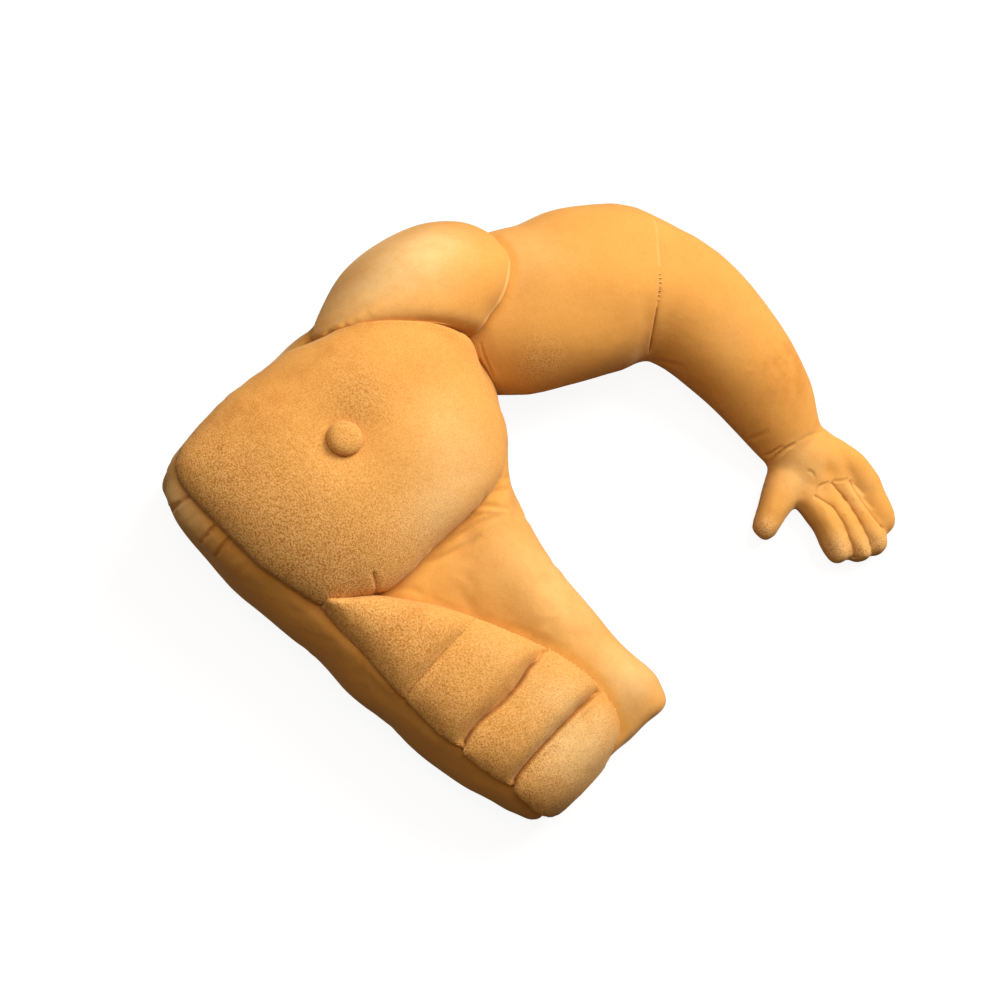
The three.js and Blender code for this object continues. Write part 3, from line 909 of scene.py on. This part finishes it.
class Skin:
    """The cloth of one piece while it is shaped by hand."""

    def __init__(self, piece, cover=None):
        self.piece = piece
        self.mesh = piece.data
        self.cover = cover
        self.take(points_of(self.mesh))

    def take(self, points):
        """Starts on new points, with no pale or dark pile and no painted shade yet."""
        self.points = points
        self.shade = np.zeros(len(points))
        self.parted = np.zeros(len(points))
        self.refresh()

    def refresh(self):
        """Brings the mesh, its normals and its search tree up to date with the moved points."""
        move_points(self.mesh, self.points)
        self.normals = points_of(self.mesh, "normal")
        self.tree = BVHTree.FromPolygons(
            [vertex.co for vertex in self.mesh.vertices], [list(face.vertices) for face in self.mesh.polygons]
        )

    def height(self, x, y):
        """How high the cloth is at a place seen from above."""
        place = self.tree.ray_cast(Vector((x, y, OVERHEAD)), Vector((0.0, 0.0, -1.0)))[0]
        if place is None:
            place = self.tree.find_nearest(Vector((x, y, HALF_HIGH)))[0]
        return place.z

    def sewn(self, reach):
        """1 where the cloth is sewn to a neighbour, 0 further off than reach."""
        tree = solid_tree(self.cover.neighbours)
        far = np.ones(len(self.points))
        for index, point in enumerate(self.points):
            distance = tree.find_nearest(point, reach)[3]
            if distance is not None:
                far[index] = distance / reach
        return (1 - far) ** 2 * (1 + 2 * far)

    def push(self, amounts, chosen=slice(None)):
        """Moves points out of the cloth, or into it below zero."""
        self.points[chosen] += self.normals[chosen] * amounts[:, None]

    def refine(self, lines, reach):
        """Splits the quads near lines in four, so that the cloth can turn sharply there."""
        close = np.zeros(len(self.points), bool)
        for line in lines:
            close[line.near(self.points, reach).chosen] = True
        mesh = bmesh.new()
        mesh.from_mesh(self.mesh)
        split = set()
        for face in mesh.faces:
            if all(close[vertex.index] for vertex in face.verts):
                split.update(edge.index for edge in face.edges)
        mesh.edges.ensure_lookup_table()
        edges = [mesh.edges[index] for index in sorted(split)]
        bmesh.ops.subdivide_edges(mesh, edges=edges, cuts=1, use_grid_fill=True)
        mesh.to_mesh(self.mesh)
        mesh.free()
        points = points_of(self.mesh)
        held = np.ones(len(points))
        for line in lines:
            held[line.near(points, reach).chosen] = 0.0
        self.take(relaxed(self.mesh, points, 2, held))

    def smooth(self, place, reach, rounds):
        """Evens the cloth out round a place in millimetres."""
        far = np.linalg.norm(self.points - np.array(place) * MM, axis=1) / reach
        held = 1 - eased(SMOOTH_EDGE - SMOOTH_EDGE * far)
        self.points = relaxed(self.mesh, self.points, rounds, held, shrink=True)
        self.refresh()

    def roll(self, line, height, width, start, end, level=False):
        """A soft raised roll along a line, out of the cloth or straight up, eased at its start and end."""
        near = line.near(self.points, width * SOFT_REACHES)
        ends = eased(near.along / start) * eased((line.length - near.along) / end)
        raised = height * np.exp(-((near.far / width) ** 2)) * ends
        out = np.array([[0.0, 0.0, 1.0]]) if level else line.outward(self)[near.nearest]
        self.points[near.chosen] += out * raised[:, None]
        self.refresh()

    def seam(self, line, depth, left, right=None, fade=0.002):
        """A line that pulls the cloth in, steep at the stitches. left and right of it differ in reach."""
        right = left if right is None else right
        near = line.near(self.points, max(left, right) * SEAM_REACHES)
        first = eased(near.along / SEAM_START + SEAM_FIRST)
        last = eased((line.length - near.along) / fade + SEAM_LAST)
        sunk = depth * np.exp(-near.far / np.where(near.side > 0, left, right)) * (first * last)
        self.points[near.chosen] -= line.outward(self)[near.nearest] * sunk[:, None]

    def puckers(self, line, pitch, depth, reach, seed):
        """Small gathers across a line, which die out away from it."""
        near = line.near(self.points, reach * SOFT_REACHES)
        ends = eased(np.minimum(near.along, line.length - near.along) / pitch + PUCKER_LAST)
        fade = np.exp(-((near.far / reach) ** 2)) * ends
        self.push(depth * uneven_wave(near.along, pitch, seed) * fade, near.chosen)

    def fold(self, fold):
        """One soft trough with a low ridge on each side, which thins out to its ends."""
        depth, width = fold.depth * MM, fold.width * MM
        line = Line(fold.places, self)
        near = line.near(self.points, width * FOLD_REACHES)
        share = near.far / width
        ends = np.sin(np.clip(near.along / line.length, 0, 1) * math.pi) ** FOLD_TAPER
        profile = (1 - FOLD_RIDGE * share**2) * np.exp(-(share**2))
        self.push(-depth * profile * ends, near.chosen)

    def spot(self, place, reach):
        """1 at a place on the cloth, falling softly to 0 beyond its reach. Both are in millimetres."""
        x, y = place[0] * MM, place[1] * MM
        middle = np.array([x, y, place[2] * MM if len(place) == 3 else self.height(x, y)])
        return np.exp(-((np.linalg.norm(self.points - middle, axis=1) / (reach * MM)) ** 2))

    def swell(self, swells):
        """Round rises, or hollows where their height is below zero."""
        for place, height, reach in swells:
            self.push(height * MM * self.spot(place, reach))

    def brush(self, patches):
        """Lays the pile pale or dark in patches, which also paints light and shade into it."""
        for place, reach, amount in patches:
            self.shade += amount * self.spot(place, reach)

    def paint_seam_shade(self, amount, reach):
        """Paints shade into the pile beside the neighbours, where the seams lie in shade."""
        self.shade -= amount * self.sewn(reach)

    def paint_light_line(self, line, amount, width):
        """Paints light along a line as pale pile, such as a highlight on a ridge, and shade below zero."""
        near = line.near(self.points, width * PILE_REACHES)
        self.shade[near.chosen] += amount * np.exp(-((near.far / width) ** 2))

    def part(self, line, amount, width):
        """Paints shade along a line, where a crease or seam lies in shade, in the colour of the pits."""
        near = line.near(self.points, width * PILE_REACHES)
        ends = eased(np.minimum(near.along, line.length - near.along) / SHADE_END + SHADE_LAST)
        self.parted[near.chosen] += amount * ends * np.exp(-((near.far / width) ** 2))

    def paint_fold_shade(self, folds):
        """Paints shade into folds, as far as each says."""
        for fold in folds:
            self.part(Line(fold.places, self), fold.parted, fold.parted_width * MM)

    def lumps(self, size, height, seed, reach):
        """Low uneven swells of the filling, which die out within reach of the neighbours."""
        numbers = np.random.default_rng(seed)
        total = np.zeros(len(self.points))
        for _ in range(LUMP_WAVES):
            direction = numbers.normal(size=3)
            direction *= 2 * math.pi / size * numbers.uniform(*LUMP_SPREAD) / np.linalg.norm(direction)
            total += np.cos(self.points @ direction + numbers.uniform(0, 2 * math.pi))
        self.push(height * total / math.sqrt(LUMP_WAVES / 2) * (1 - self.sewn(reach)))
        self.refresh()

    def keep(self, name, amounts):
        """Stores a share from 0 to 1 at each point, for the material."""
        stored = self.mesh.attributes.get(name) or self.mesh.attributes.new(name, "FLOAT", "POINT")
        values = np.clip(np.broadcast_to(amounts, (len(self.points),)), 0, 1)
        stored.data.foreach_set("value", values.astype(np.float32))

    def done(self):
        """Writes the shape back, with the pale and dark pile, which holds nap and painted light and shade,
        and the painted shade of creases, and lays the piece on the floor.
        """
        self.keep("pale", self.shade)
        self.keep("dark_nap_and_shade", -self.shade)
        self.keep("parted", self.parted)
        self.points[:, 2] = np.maximum(self.points[:, 2], 0.0)
        move_points(self.mesh, self.points)
        self.mesh.shade_smooth()


def hand_over(piece, nodes, material):
    """Gives a finished piece its material, hangs it on the body and hides the solids that it stands for."""
    piece.data.materials.clear()
    piece.data.materials.append(material)
    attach(piece, BODY)
    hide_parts(*nodes)


def finish_piece(context, skin):
    """Ends the work on a cover. All covers share one plush."""
    name = "brushed_plush"
    material = bpy.data.materials.get(name) or plush_material(name, context.scene.pillow_plush)
    skin.done()
    hand_over(skin.piece, skin.cover.nodes, material)


# How the cloth is held while it is filled: beside its neighbours, where it lies on the floor, and
# along its sewn lines.
SEWN_REACH = 0.012
SEWN_GRIP = 1.6
RESTING = 0.0015
RESTING_GRIP = 0.7
STITCH_REACH = 0.008


def start_piece(context, cover, cell, lines=()):
    """A filled and subdivided skin over a cover's solids, sewn to its neighbours and along lines."""
    skin = Skin(remeshed_copy(cover, cell), cover)
    pinned = np.clip(skin.sewn(SEWN_REACH) * SEWN_GRIP, 0, 1)
    pinned = np.maximum(pinned, np.where(skin.points[:, 2] < RESTING, RESTING_GRIP, 0.0))
    for places in lines:
        near = Line(places, skin).near(skin.points, STITCH_REACH)
        pinned[near.chosen] = np.maximum(pinned[near.chosen], 1 - near.far / STITCH_REACH)
    filled(skin, pinned, context.scene.pillow_padding)
    return Skin(subdivided(skin.piece), cover)


# Shade is painted at the foot of the side wall, left of two slanting lines and below a height.
WALL_EDGE = -0.24
WALL_SLANT = 0.1
WALL_SHADE = 0.6
WALL_TOP = 0.042
WALL_FADE = 0.036


def make_torso(context):
    skin = start_piece(context, TORSO, context.scene.pillow_padding.cell)
    skin.lumps(size=0.09, height=0.0012, seed=11, reach=0.016)
    skin.roll(Line(STRIP_ROLL), height=0.013, width=0.026, start=0.045, end=0.11)
    skin.smooth(HEM_CORNER, reach=0.045, rounds=40)
    skin.swell(TORSO_SWELLS)
    skin.refresh()
    skin.refine([Line(tuck.places, skin) for tuck in STRIP_TUCKS], reach=0.012)
    folds = [*FLANK_FOLDS, *STRIP_TUCKS, *STRIP_FOLDS]
    for fold in folds:
        skin.fold(fold)
    # Painted shade in the folds.
    skin.paint_fold_shade(folds)
    # Painted shade at the foot of the side wall.
    x, y, z = skin.points.T
    wall = x < WALL_EDGE - WALL_SLANT * np.abs(y)
    skin.parted += WALL_SHADE * eased((WALL_TOP - z) / WALL_FADE) * wall
    skin.keep("coarse", TORSO_COARSE)
    # Pale and dark pile, which holds nap and painted light and shade.
    skin.brush(TORSO_NAP_AND_SHADING)
    # Painted shade beside the seams.
    skin.paint_seam_shade(amount=0.6, reach=0.014)
    finish_piece(context, skin)


# The chest turns coarse from a slanting line on, towards its lower left.
CHEST_LINE = -0.06
CHEST_SLANT = 0.35
CHEST_FADE = 0.22
CHEST_CURVE = 1.2


def make_chest(context):
    skin = start_piece(context, CHEST, context.scene.pillow_padding.small_cell, [BUTTON_PIN])
    skin.lumps(size=0.11, height=0.0009, seed=21, reach=0.010)
    skin.refine([Line(CHEST_DART, skin)], reach=0.010)
    skin.roll(Line(CHEST_RIM), height=0.0125, width=0.013, start=0.035, end=0.06, level=True)
    skin.swell(CHEST_SWELLS)
    skin.refresh()
    skin.puckers(Line(CHEST_SEAM, closed=True), pitch=0.024, depth=0.0004, reach=0.010, seed=22)
    skin.refresh()
    dart = Line(CHEST_DART, skin)
    skin.seam(dart, depth=0.0032, left=0.0014, fade=0.006)
    # Painted shade in the dart and along the seam.
    skin.part(dart, amount=0.8, width=0.0010)
    skin.part(Line(CHEST_SEAM, skin, closed=True), amount=0.8, width=0.0018)
    skin.fold(CHEST_FOLD)
    x, y = skin.points[:, 0], skin.points[:, 1]
    lower_left = eased((CHEST_LINE - x - CHEST_SLANT * y) / CHEST_FADE) ** CHEST_CURVE
    place, reach, amount = CHEST_SPECK
    skin.keep("coarse", CHEST_COARSE + (1 - CHEST_COARSE) * lower_left + amount * skin.spot(place, reach))
    # Pale and dark pile, which holds nap and painted light and shade.
    skin.brush(CHEST_NAP_AND_SHADING)
    # Painted shade beside the seams.
    skin.paint_seam_shade(amount=0.6, reach=0.010)
    finish_piece(context, skin)


# The stomach is coarser to the left of a line.
STOMACH_LINE = -0.18
STOMACH_FADE = 0.1
STOMACH_GAIN = 0.38
RIB_PUCKER = 0.05  # height of the puckers along a rib, as a share of its depth


def make_stomach(context):
    ribs = [SHALLOW_RIB, *DEEP_RIBS]
    cell = context.scene.pillow_padding.small_cell * STOMACH_CELL
    skin = start_piece(context, STOMACH, cell, [rib.places for rib in ribs])
    skin.refine([Line(rib.places, skin) for rib in ribs], reach=0.014)
    skin.refine([Line(rib.places, skin) for rib in DEEP_RIBS], reach=0.005)
    for seed, rib in enumerate(ribs, start=30):
        line = Line(rib.places, skin)
        skin.puckers(line, pitch=0.026, depth=rib.depth * MM * RIB_PUCKER, reach=0.010, seed=seed)
        # Painted shade in the rib.
        skin.part(line, rib.parted, width=0.0012)
        skin.seam(line, rib.depth * MM, rib.above * MM, rib.below * MM, rib.fade * MM)
        skin.refresh()
    left = eased((STOMACH_LINE - skin.points[:, 0]) / STOMACH_FADE)
    skin.keep("coarse", STOMACH_COARSE + STOMACH_GAIN * left)
    # Pale and dark pile, which holds nap and painted light and shade.
    skin.brush(STOMACH_NAP_AND_SHADING)
    # Painted shade beside the seams.
    skin.paint_seam_shade(amount=0.5, reach=0.010)
    finish_piece(context, skin)


def make_cap(context):
    skin = start_piece(context, CAP, context.scene.pillow_padding.small_cell)
    lip = Line(CAP_LIP)
    seam = Line(CAP_SEAM)
    skin.roll(seam, height=0.011, width=0.008, start=0.035, end=0.05, level=True)
    skin.refine([lip, seam], reach=0.008)
    skin.puckers(seam, pitch=0.013, depth=0.0005, reach=0.006, seed=51)
    skin.refresh()
    for fold in CAP_FOLDS:
        skin.fold(fold)
    skin.keep("coarse", CAP_COARSE)
    # Pale and dark pile, mostly painted light on the cap.
    skin.brush(CAP_NAP_AND_SHADING)
    # A painted highlight on the lip, and painted light along the cap's lower edge.
    skin.paint_light_line(lip, amount=0.9, width=0.0022)
    skin.paint_light_line(Line(CAP_EDGE, skin), amount=0.12, width=0.006)
    finish_piece(context, skin)


def make_arm(context):
    lines = [ELBOW_SEAM, *FINGER_LINES]
    skin = start_piece(context, ARM, context.scene.pillow_padding.small_cell, lines)
    skin.lumps(size=0.1, height=0.0010, seed=41, reach=0.012)
    skin.smooth(INNER_ELBOW, reach=0.05, rounds=70)
    elbow = Line(ELBOW_SEAM, skin)
    fingers = [Line(places, skin) for places in FINGER_LINES]
    creases = [Line(fold.places, skin) for fold in ARM_FOLDS]
    skin.refine([elbow, *fingers, *creases], reach=0.010)
    skin.refine([*fingers, Line(ELBOW_DEEP, skin)], reach=0.005)
    skin.seam(elbow, depth=0.0010, left=0.0022, right=0.0012, fade=0.010)
    skin.seam(Line(ELBOW_DEEP, skin), depth=0.0026, left=0.0014, right=0.0011, fade=0.010)
    for finger in fingers:
        skin.seam(finger, depth=0.0024, left=0.0018)
    skin.refresh()
    for fold in [ELBOW_FOLD, *ARM_FOLDS]:
        skin.fold(fold)
    skin.swell(ARM_SWELLS)
    specks = sum(amount * skin.spot(place, reach) for place, reach, amount in ARM_SPECKS)
    skin.keep("coarse", ARM_COARSE + specks)
    # Pale and dark pile, which holds nap and painted light and shade.
    skin.brush(ARM_NAP_AND_SHADING)
    # Painted shade beside the seams.
    skin.paint_seam_shade(amount=0.5, reach=0.012)
    # A painted highlight on the elbow's welt.
    skin.paint_light_line(Line(ELBOW_WELT, skin), amount=0.45, width=0.0012)
    # Painted shade between the rungs, in the seam, the folds and the finger grooves.
    skin.part(Line(ELBOW_RUNGS, skin), amount=0.2, width=0.0012)
    skin.part(Line(ELBOW_SHADED, skin), amount=0.9, width=0.0013)
    skin.paint_fold_shade(ARM_FOLDS)
    for finger in fingers:
        skin.part(finger, amount=0.4, width=0.0013)
    finish_piece(context, skin)


def make_button(context):
    skin = Skin(subdivided(remeshed_copy(BUTTON, BUTTON_CELL)), BUTTON)
    skin.push(np.full(len(skin.points), -BUTTON_TRIM))
    skin.keep("coarse", BUTTON_COARSE)
    # Painted shade round the foot of the button.
    skin.paint_seam_shade(amount=0.8, reach=0.004)
    finish_piece(context, skin)


def stitch_tree(material):
    """The Geometry Nodes that set a thread's stitches along a line."""
    tree = bpy.data.node_groups.new("stitch_run", "GeometryNodeTree")
    sockets = [
        ("Line", "NodeSocketGeometry"),
        ("Pitch", "NodeSocketFloat"),
        ("Across", "NodeSocketFloat"),
        ("Along", "NodeSocketFloat"),
        ("Thickness", "NodeSocketFloat"),
        ("Seed", "NodeSocketInt"),
    ]
    for label, kind in sockets:
        tree.interface.new_socket(label, in_out="INPUT", socket_type=kind)
    tree.interface.new_socket("Stitches", in_out="OUTPUT", socket_type="NodeSocketGeometry")

    def node(kind, links, **settings):
        made = tree.nodes.new(kind)
        for name, value in settings.items():
            setattr(made, name, value)
        for name, value in links.items():
            if isinstance(value, bpy.types.NodeSocket):
                tree.links.new(value, made.inputs[name])
            else:
                made.inputs[name].default_value = value
        return made

    given = node("NodeGroupInput", {}).outputs
    curve = node("GeometryNodeMeshToCurve", {"Mesh": given["Line"]})
    level = node("GeometryNodeSetCurveNormal", {"Curve": curve.outputs["Curve"]}, mode="Z_UP")
    run = {"Curve": level.outputs["Curve"], "Length": given["Pitch"]}
    points = node("GeometryNodeCurveToPoints", run, mode="LENGTH")
    ball = node("GeometryNodeMeshUVSphere", {"Segments": 10, "Rings": 6, "Radius": 0.5})
    sides = {"X": given["Across"], "Y": given["Thickness"], "Z": given["Along"]}
    sizes = node("ShaderNodeCombineXYZ", sides)
    least, most = 2, 3  # sockets of a random number's range
    spread = {least: 0.85, most: 1.15, "Seed": given["Seed"]}
    uneven = node("FunctionNodeRandomValue", spread, data_type="FLOAT")
    scale = {0: sizes.outputs[0], "Scale": uneven.outputs[1]}
    scaled = node("ShaderNodeVectorMath", scale, operation="SCALE")
    placed = node(
        "GeometryNodeInstanceOnPoints",
        {
            "Points": points.outputs["Points"],
            "Instance": ball.outputs["Mesh"],
            "Rotation": points.outputs["Rotation"],
            "Scale": scaled.outputs["Vector"],
        },
    )
    real = node("GeometryNodeRealizeInstances", {"Geometry": placed.outputs["Instances"]})
    finished = node("GeometryNodeSetMaterial", {"Geometry": real.outputs["Geometry"], "Material": material})
    node("NodeGroupOutput", {"Stitches": finished.outputs["Geometry"]})
    return tree


def stitched(name, places, cover, material, sizes, lift=0.0):
    """A run of stitches on a finished cover, or lifted off it."""
    skin = Skin(bpy.data.objects[cover.name])
    points = [(x, y, skin.height(x, y) + lift) for x, y, _ in Line(places, skin).points]
    mesh = bpy.data.meshes.new(name)
    mesh.from_pydata(points, [(step, step + 1) for step in range(len(points) - 1)], [])
    run = linked(name, mesh)
    modifier = run.modifiers.new("Stitches", "NODES")
    modifier.node_group = stitch_tree(material)
    for item in modifier.node_group.interface.items_tree:
        if item.in_out == "INPUT" and item.name in sizes:
            modifier[item.identifier] = sizes[item.name]
    baked(run)
    run.data.shade_smooth()
    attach(run, BODY)


EDGE_PITCH = 1.2  # pitch of the stitches beside the stomach, as a share of the others'
RUNG_LENGTH = 1.6  # length of a rung along its seam, in thicknesses of the thread
RUNG_LIFT = 0.0006  # how far the rungs stand off their seam


def make_stitches(context):
    sewing = context.scene.pillow_sewing
    colours = context.scene.pillow_plush
    dark = thread_material("thread", colours.thread, colours.pit_and_shade)
    pale = thread_material("thread_pale", colours.pale, colours.colour)
    run = {
        "Pitch": sewing.pitch,
        "Across": sewing.thickness,
        "Along": sewing.length,
        "Thickness": sewing.thickness,
        "Seed": 1,
    }
    rungs = {**run, "Across": sewing.rung, "Along": sewing.thickness * RUNG_LENGTH, "Seed": 2}
    edge = {**run, "Pitch": sewing.pitch * EDGE_PITCH, "Seed": 3}
    stitched("channel_stitches", SHALLOW_RIB.places, STOMACH, dark, run)
    stitched("stomach_stitches", STOMACH_EDGE, STOMACH, dark, edge)
    stitched("elbow_stitches", ELBOW_RUNGS, ARM, pale, rungs, lift=RUNG_LIFT)


def add_camera(stage):
    """A camera that leans from straight above the pillow and is turned about its line of sight."""
    sight = Vector((math.sin(stage.tilt), 0.0, -math.cos(stage.tilt)))
    lean = Vector((math.cos(stage.tilt), 0.0, math.sin(stage.tilt)))
    level = Vector((0.0, 1.0, 0.0))
    right = lean * math.cos(stage.roll) - level * math.sin(stage.roll)
    up = lean * math.sin(stage.roll) + level * math.cos(stage.roll)
    camera = linked("camera", bpy.data.cameras.new("camera"))
    camera.data.lens = stage.lens
    camera.data.sensor_width = SENSOR
    turn = Matrix((right, up, -sight)).transposed().to_4x4()
    place = Vector(stage.target) - sight * stage.distance
    camera.matrix_world = Matrix.Translation(place) @ turn
    bpy.context.scene.camera = camera


def add_paper(stage):
    """A floor, and a backdrop round it that throws no shadow."""
    paper = paper_material(stage)
    reach = stage.reach
    corners = [(-reach, -reach), (reach, -reach), (reach, reach), (-reach, reach)]
    sheets = {
        "floor": ([(x, y, 0.0) for x, y in corners], [(0, 1, 2, 3)]),
        "backdrop": (
            [(x, y, z) for z in (0.0, reach) for x, y in corners],
            [(0, 4, 5, 1), (1, 5, 6, 2), (2, 6, 7, 3), (3, 7, 4, 0)],
        ),
    }
    for name, (places, faces) in sheets.items():
        mesh = bpy.data.meshes.new(name)
        mesh.from_pydata(places, [], faces)
        mesh.materials.append(paper)
        sheet = linked(name, mesh)
        sheet.visible_diffuse = False
        sheet.visible_glossy = False
        sheet.visible_shadow = name == "floor"


def add_light(name, power, target, place, size, colour):
    """A round area light that looks at the target."""
    light = bpy.data.lights.new(name, "AREA")
    light.shape = "DISK"
    light.size = size
    light.energy = power
    light.color = colour
    lamp = linked(name, light)
    lamp.location = place
    lamp.rotation_mode = "QUATERNION"
    lamp.rotation_quaternion = (Vector(target) - Vector(place)).to_track_quat("-Z", "Y")


def make_stage(context):
    stage = context.scene.pillow_stage
    add_camera(stage)
    add_paper(stage)
    add_light("key", stage.key, stage.target, **KEY_LIGHT)
    add_light("top", stage.top, stage.target, **TOP_LIGHT)
    world = bpy.data.worlds.new("studio")
    world.use_nodes = True
    sky = world.node_tree.nodes["Background"].inputs
    sky["Color"].default_value = opaque(stage.fill_colour)
    sky["Strength"].default_value = stage.fill
    context.scene.world = world
    context.scene.view_settings.view_transform = "Standard"


class PILLOW_OT_stage(bpy.types.Operator):
    """Set up the camera, the paper floor and backdrop, and the lights"""

    bl_idname = "pillow.stage"
    bl_label = "Stage"

    def execute(self, context):
        make_stage(context)
        return {"FINISHED"}


class PILLOW_OT_torso(bpy.types.Operator):
    """Make the filled body with its side strip"""

    bl_idname = "pillow.torso"
    bl_label = "Torso"

    def execute(self, context):
        make_torso(context)
        return {"FINISHED"}


class PILLOW_OT_chest(bpy.types.Operator):
    """Make the crowned chest panel"""

    bl_idname = "pillow.chest"
    bl_label = "Chest"

    def execute(self, context):
        make_chest(context)
        return {"FINISHED"}


class PILLOW_OT_stomach(bpy.types.Operator):
    """Make the ribbed stomach panel"""

    bl_idname = "pillow.stomach"
    bl_label = "Stomach"

    def execute(self, context):
        make_stomach(context)
        return {"FINISHED"}


class PILLOW_OT_shoulder(bpy.types.Operator):
    """Make the round shoulder cap"""

    bl_idname = "pillow.shoulder"
    bl_label = "Shoulder"

    def execute(self, context):
        make_cap(context)
        return {"FINISHED"}


class PILLOW_OT_arm(bpy.types.Operator):
    """Make the arm, from the shoulder to the fingertips"""

    bl_idname = "pillow.arm"
    bl_label = "Arm"

    def execute(self, context):
        make_arm(context)
        return {"FINISHED"}


class PILLOW_OT_button(bpy.types.Operator):
    """Make the covered button"""

    bl_idname = "pillow.button"
    bl_label = "Button"

    def execute(self, context):
        make_button(context)
        return {"FINISHED"}


class PILLOW_OT_stitches(bpy.types.Operator):
    """Set the visible stitches on the finished covers"""

    bl_idname = "pillow.stitches"
    bl_label = "Stitches"

    def execute(self, context):
        make_stitches(context)
        return {"FINISHED"}


OPERATORS = [
    PILLOW_OT_stage,
    PILLOW_OT_torso,
    PILLOW_OT_chest,
    PILLOW_OT_stomach,
    PILLOW_OT_shoulder,
    PILLOW_OT_arm,
    PILLOW_OT_button,
    PILLOW_OT_stitches,
]
SETTINGS = {
    "pillow_plush": PlushSettings,
    "pillow_padding": PaddingSettings,
    "pillow_sewing": SewingSettings,
    "pillow_stage": StageSettings,
}


class PILLOW_PT_panel(bpy.types.Panel):
    """Lists the steps that build the pillow and their settings"""

    bl_idname = "PILLOW_PT_panel"
    bl_label = "Backrest pillow"
    bl_space_type = "VIEW_3D"
    bl_region_type = "UI"
    bl_category = "Pillow"

    def draw(self, context):
        for operator in OPERATORS:
            self.layout.operator(operator.bl_idname)
        for name, settings in SETTINGS.items():
            box = self.layout.box()
            for field in settings.__annotations__:
                box.prop(getattr(context.scene, name), field)


def register():
    for settings in SETTINGS.values():
        bpy.utils.register_class(settings)
    for name, settings in SETTINGS.items():
        setattr(bpy.types.Scene, name, bpy.props.PointerProperty(type=settings))
    for operator in OPERATORS:
        bpy.utils.register_class(operator)
    bpy.utils.register_class(PILLOW_PT_panel)


def unregister():
    bpy.utils.unregister_class(PILLOW_PT_panel)
    for operator in reversed(OPERATORS):
        bpy.utils.unregister_class(operator)
    for name, settings in reversed(SETTINGS.items()):
        delattr(bpy.types.Scene, name)
        bpy.utils.unregister_class(settings)


def main():
    register()
    for operator in OPERATORS:
        group, name = operator.bl_idname.split(".")
        getattr(getattr(bpy.ops, group), name)()


if __name__ == "__main__":
    main()
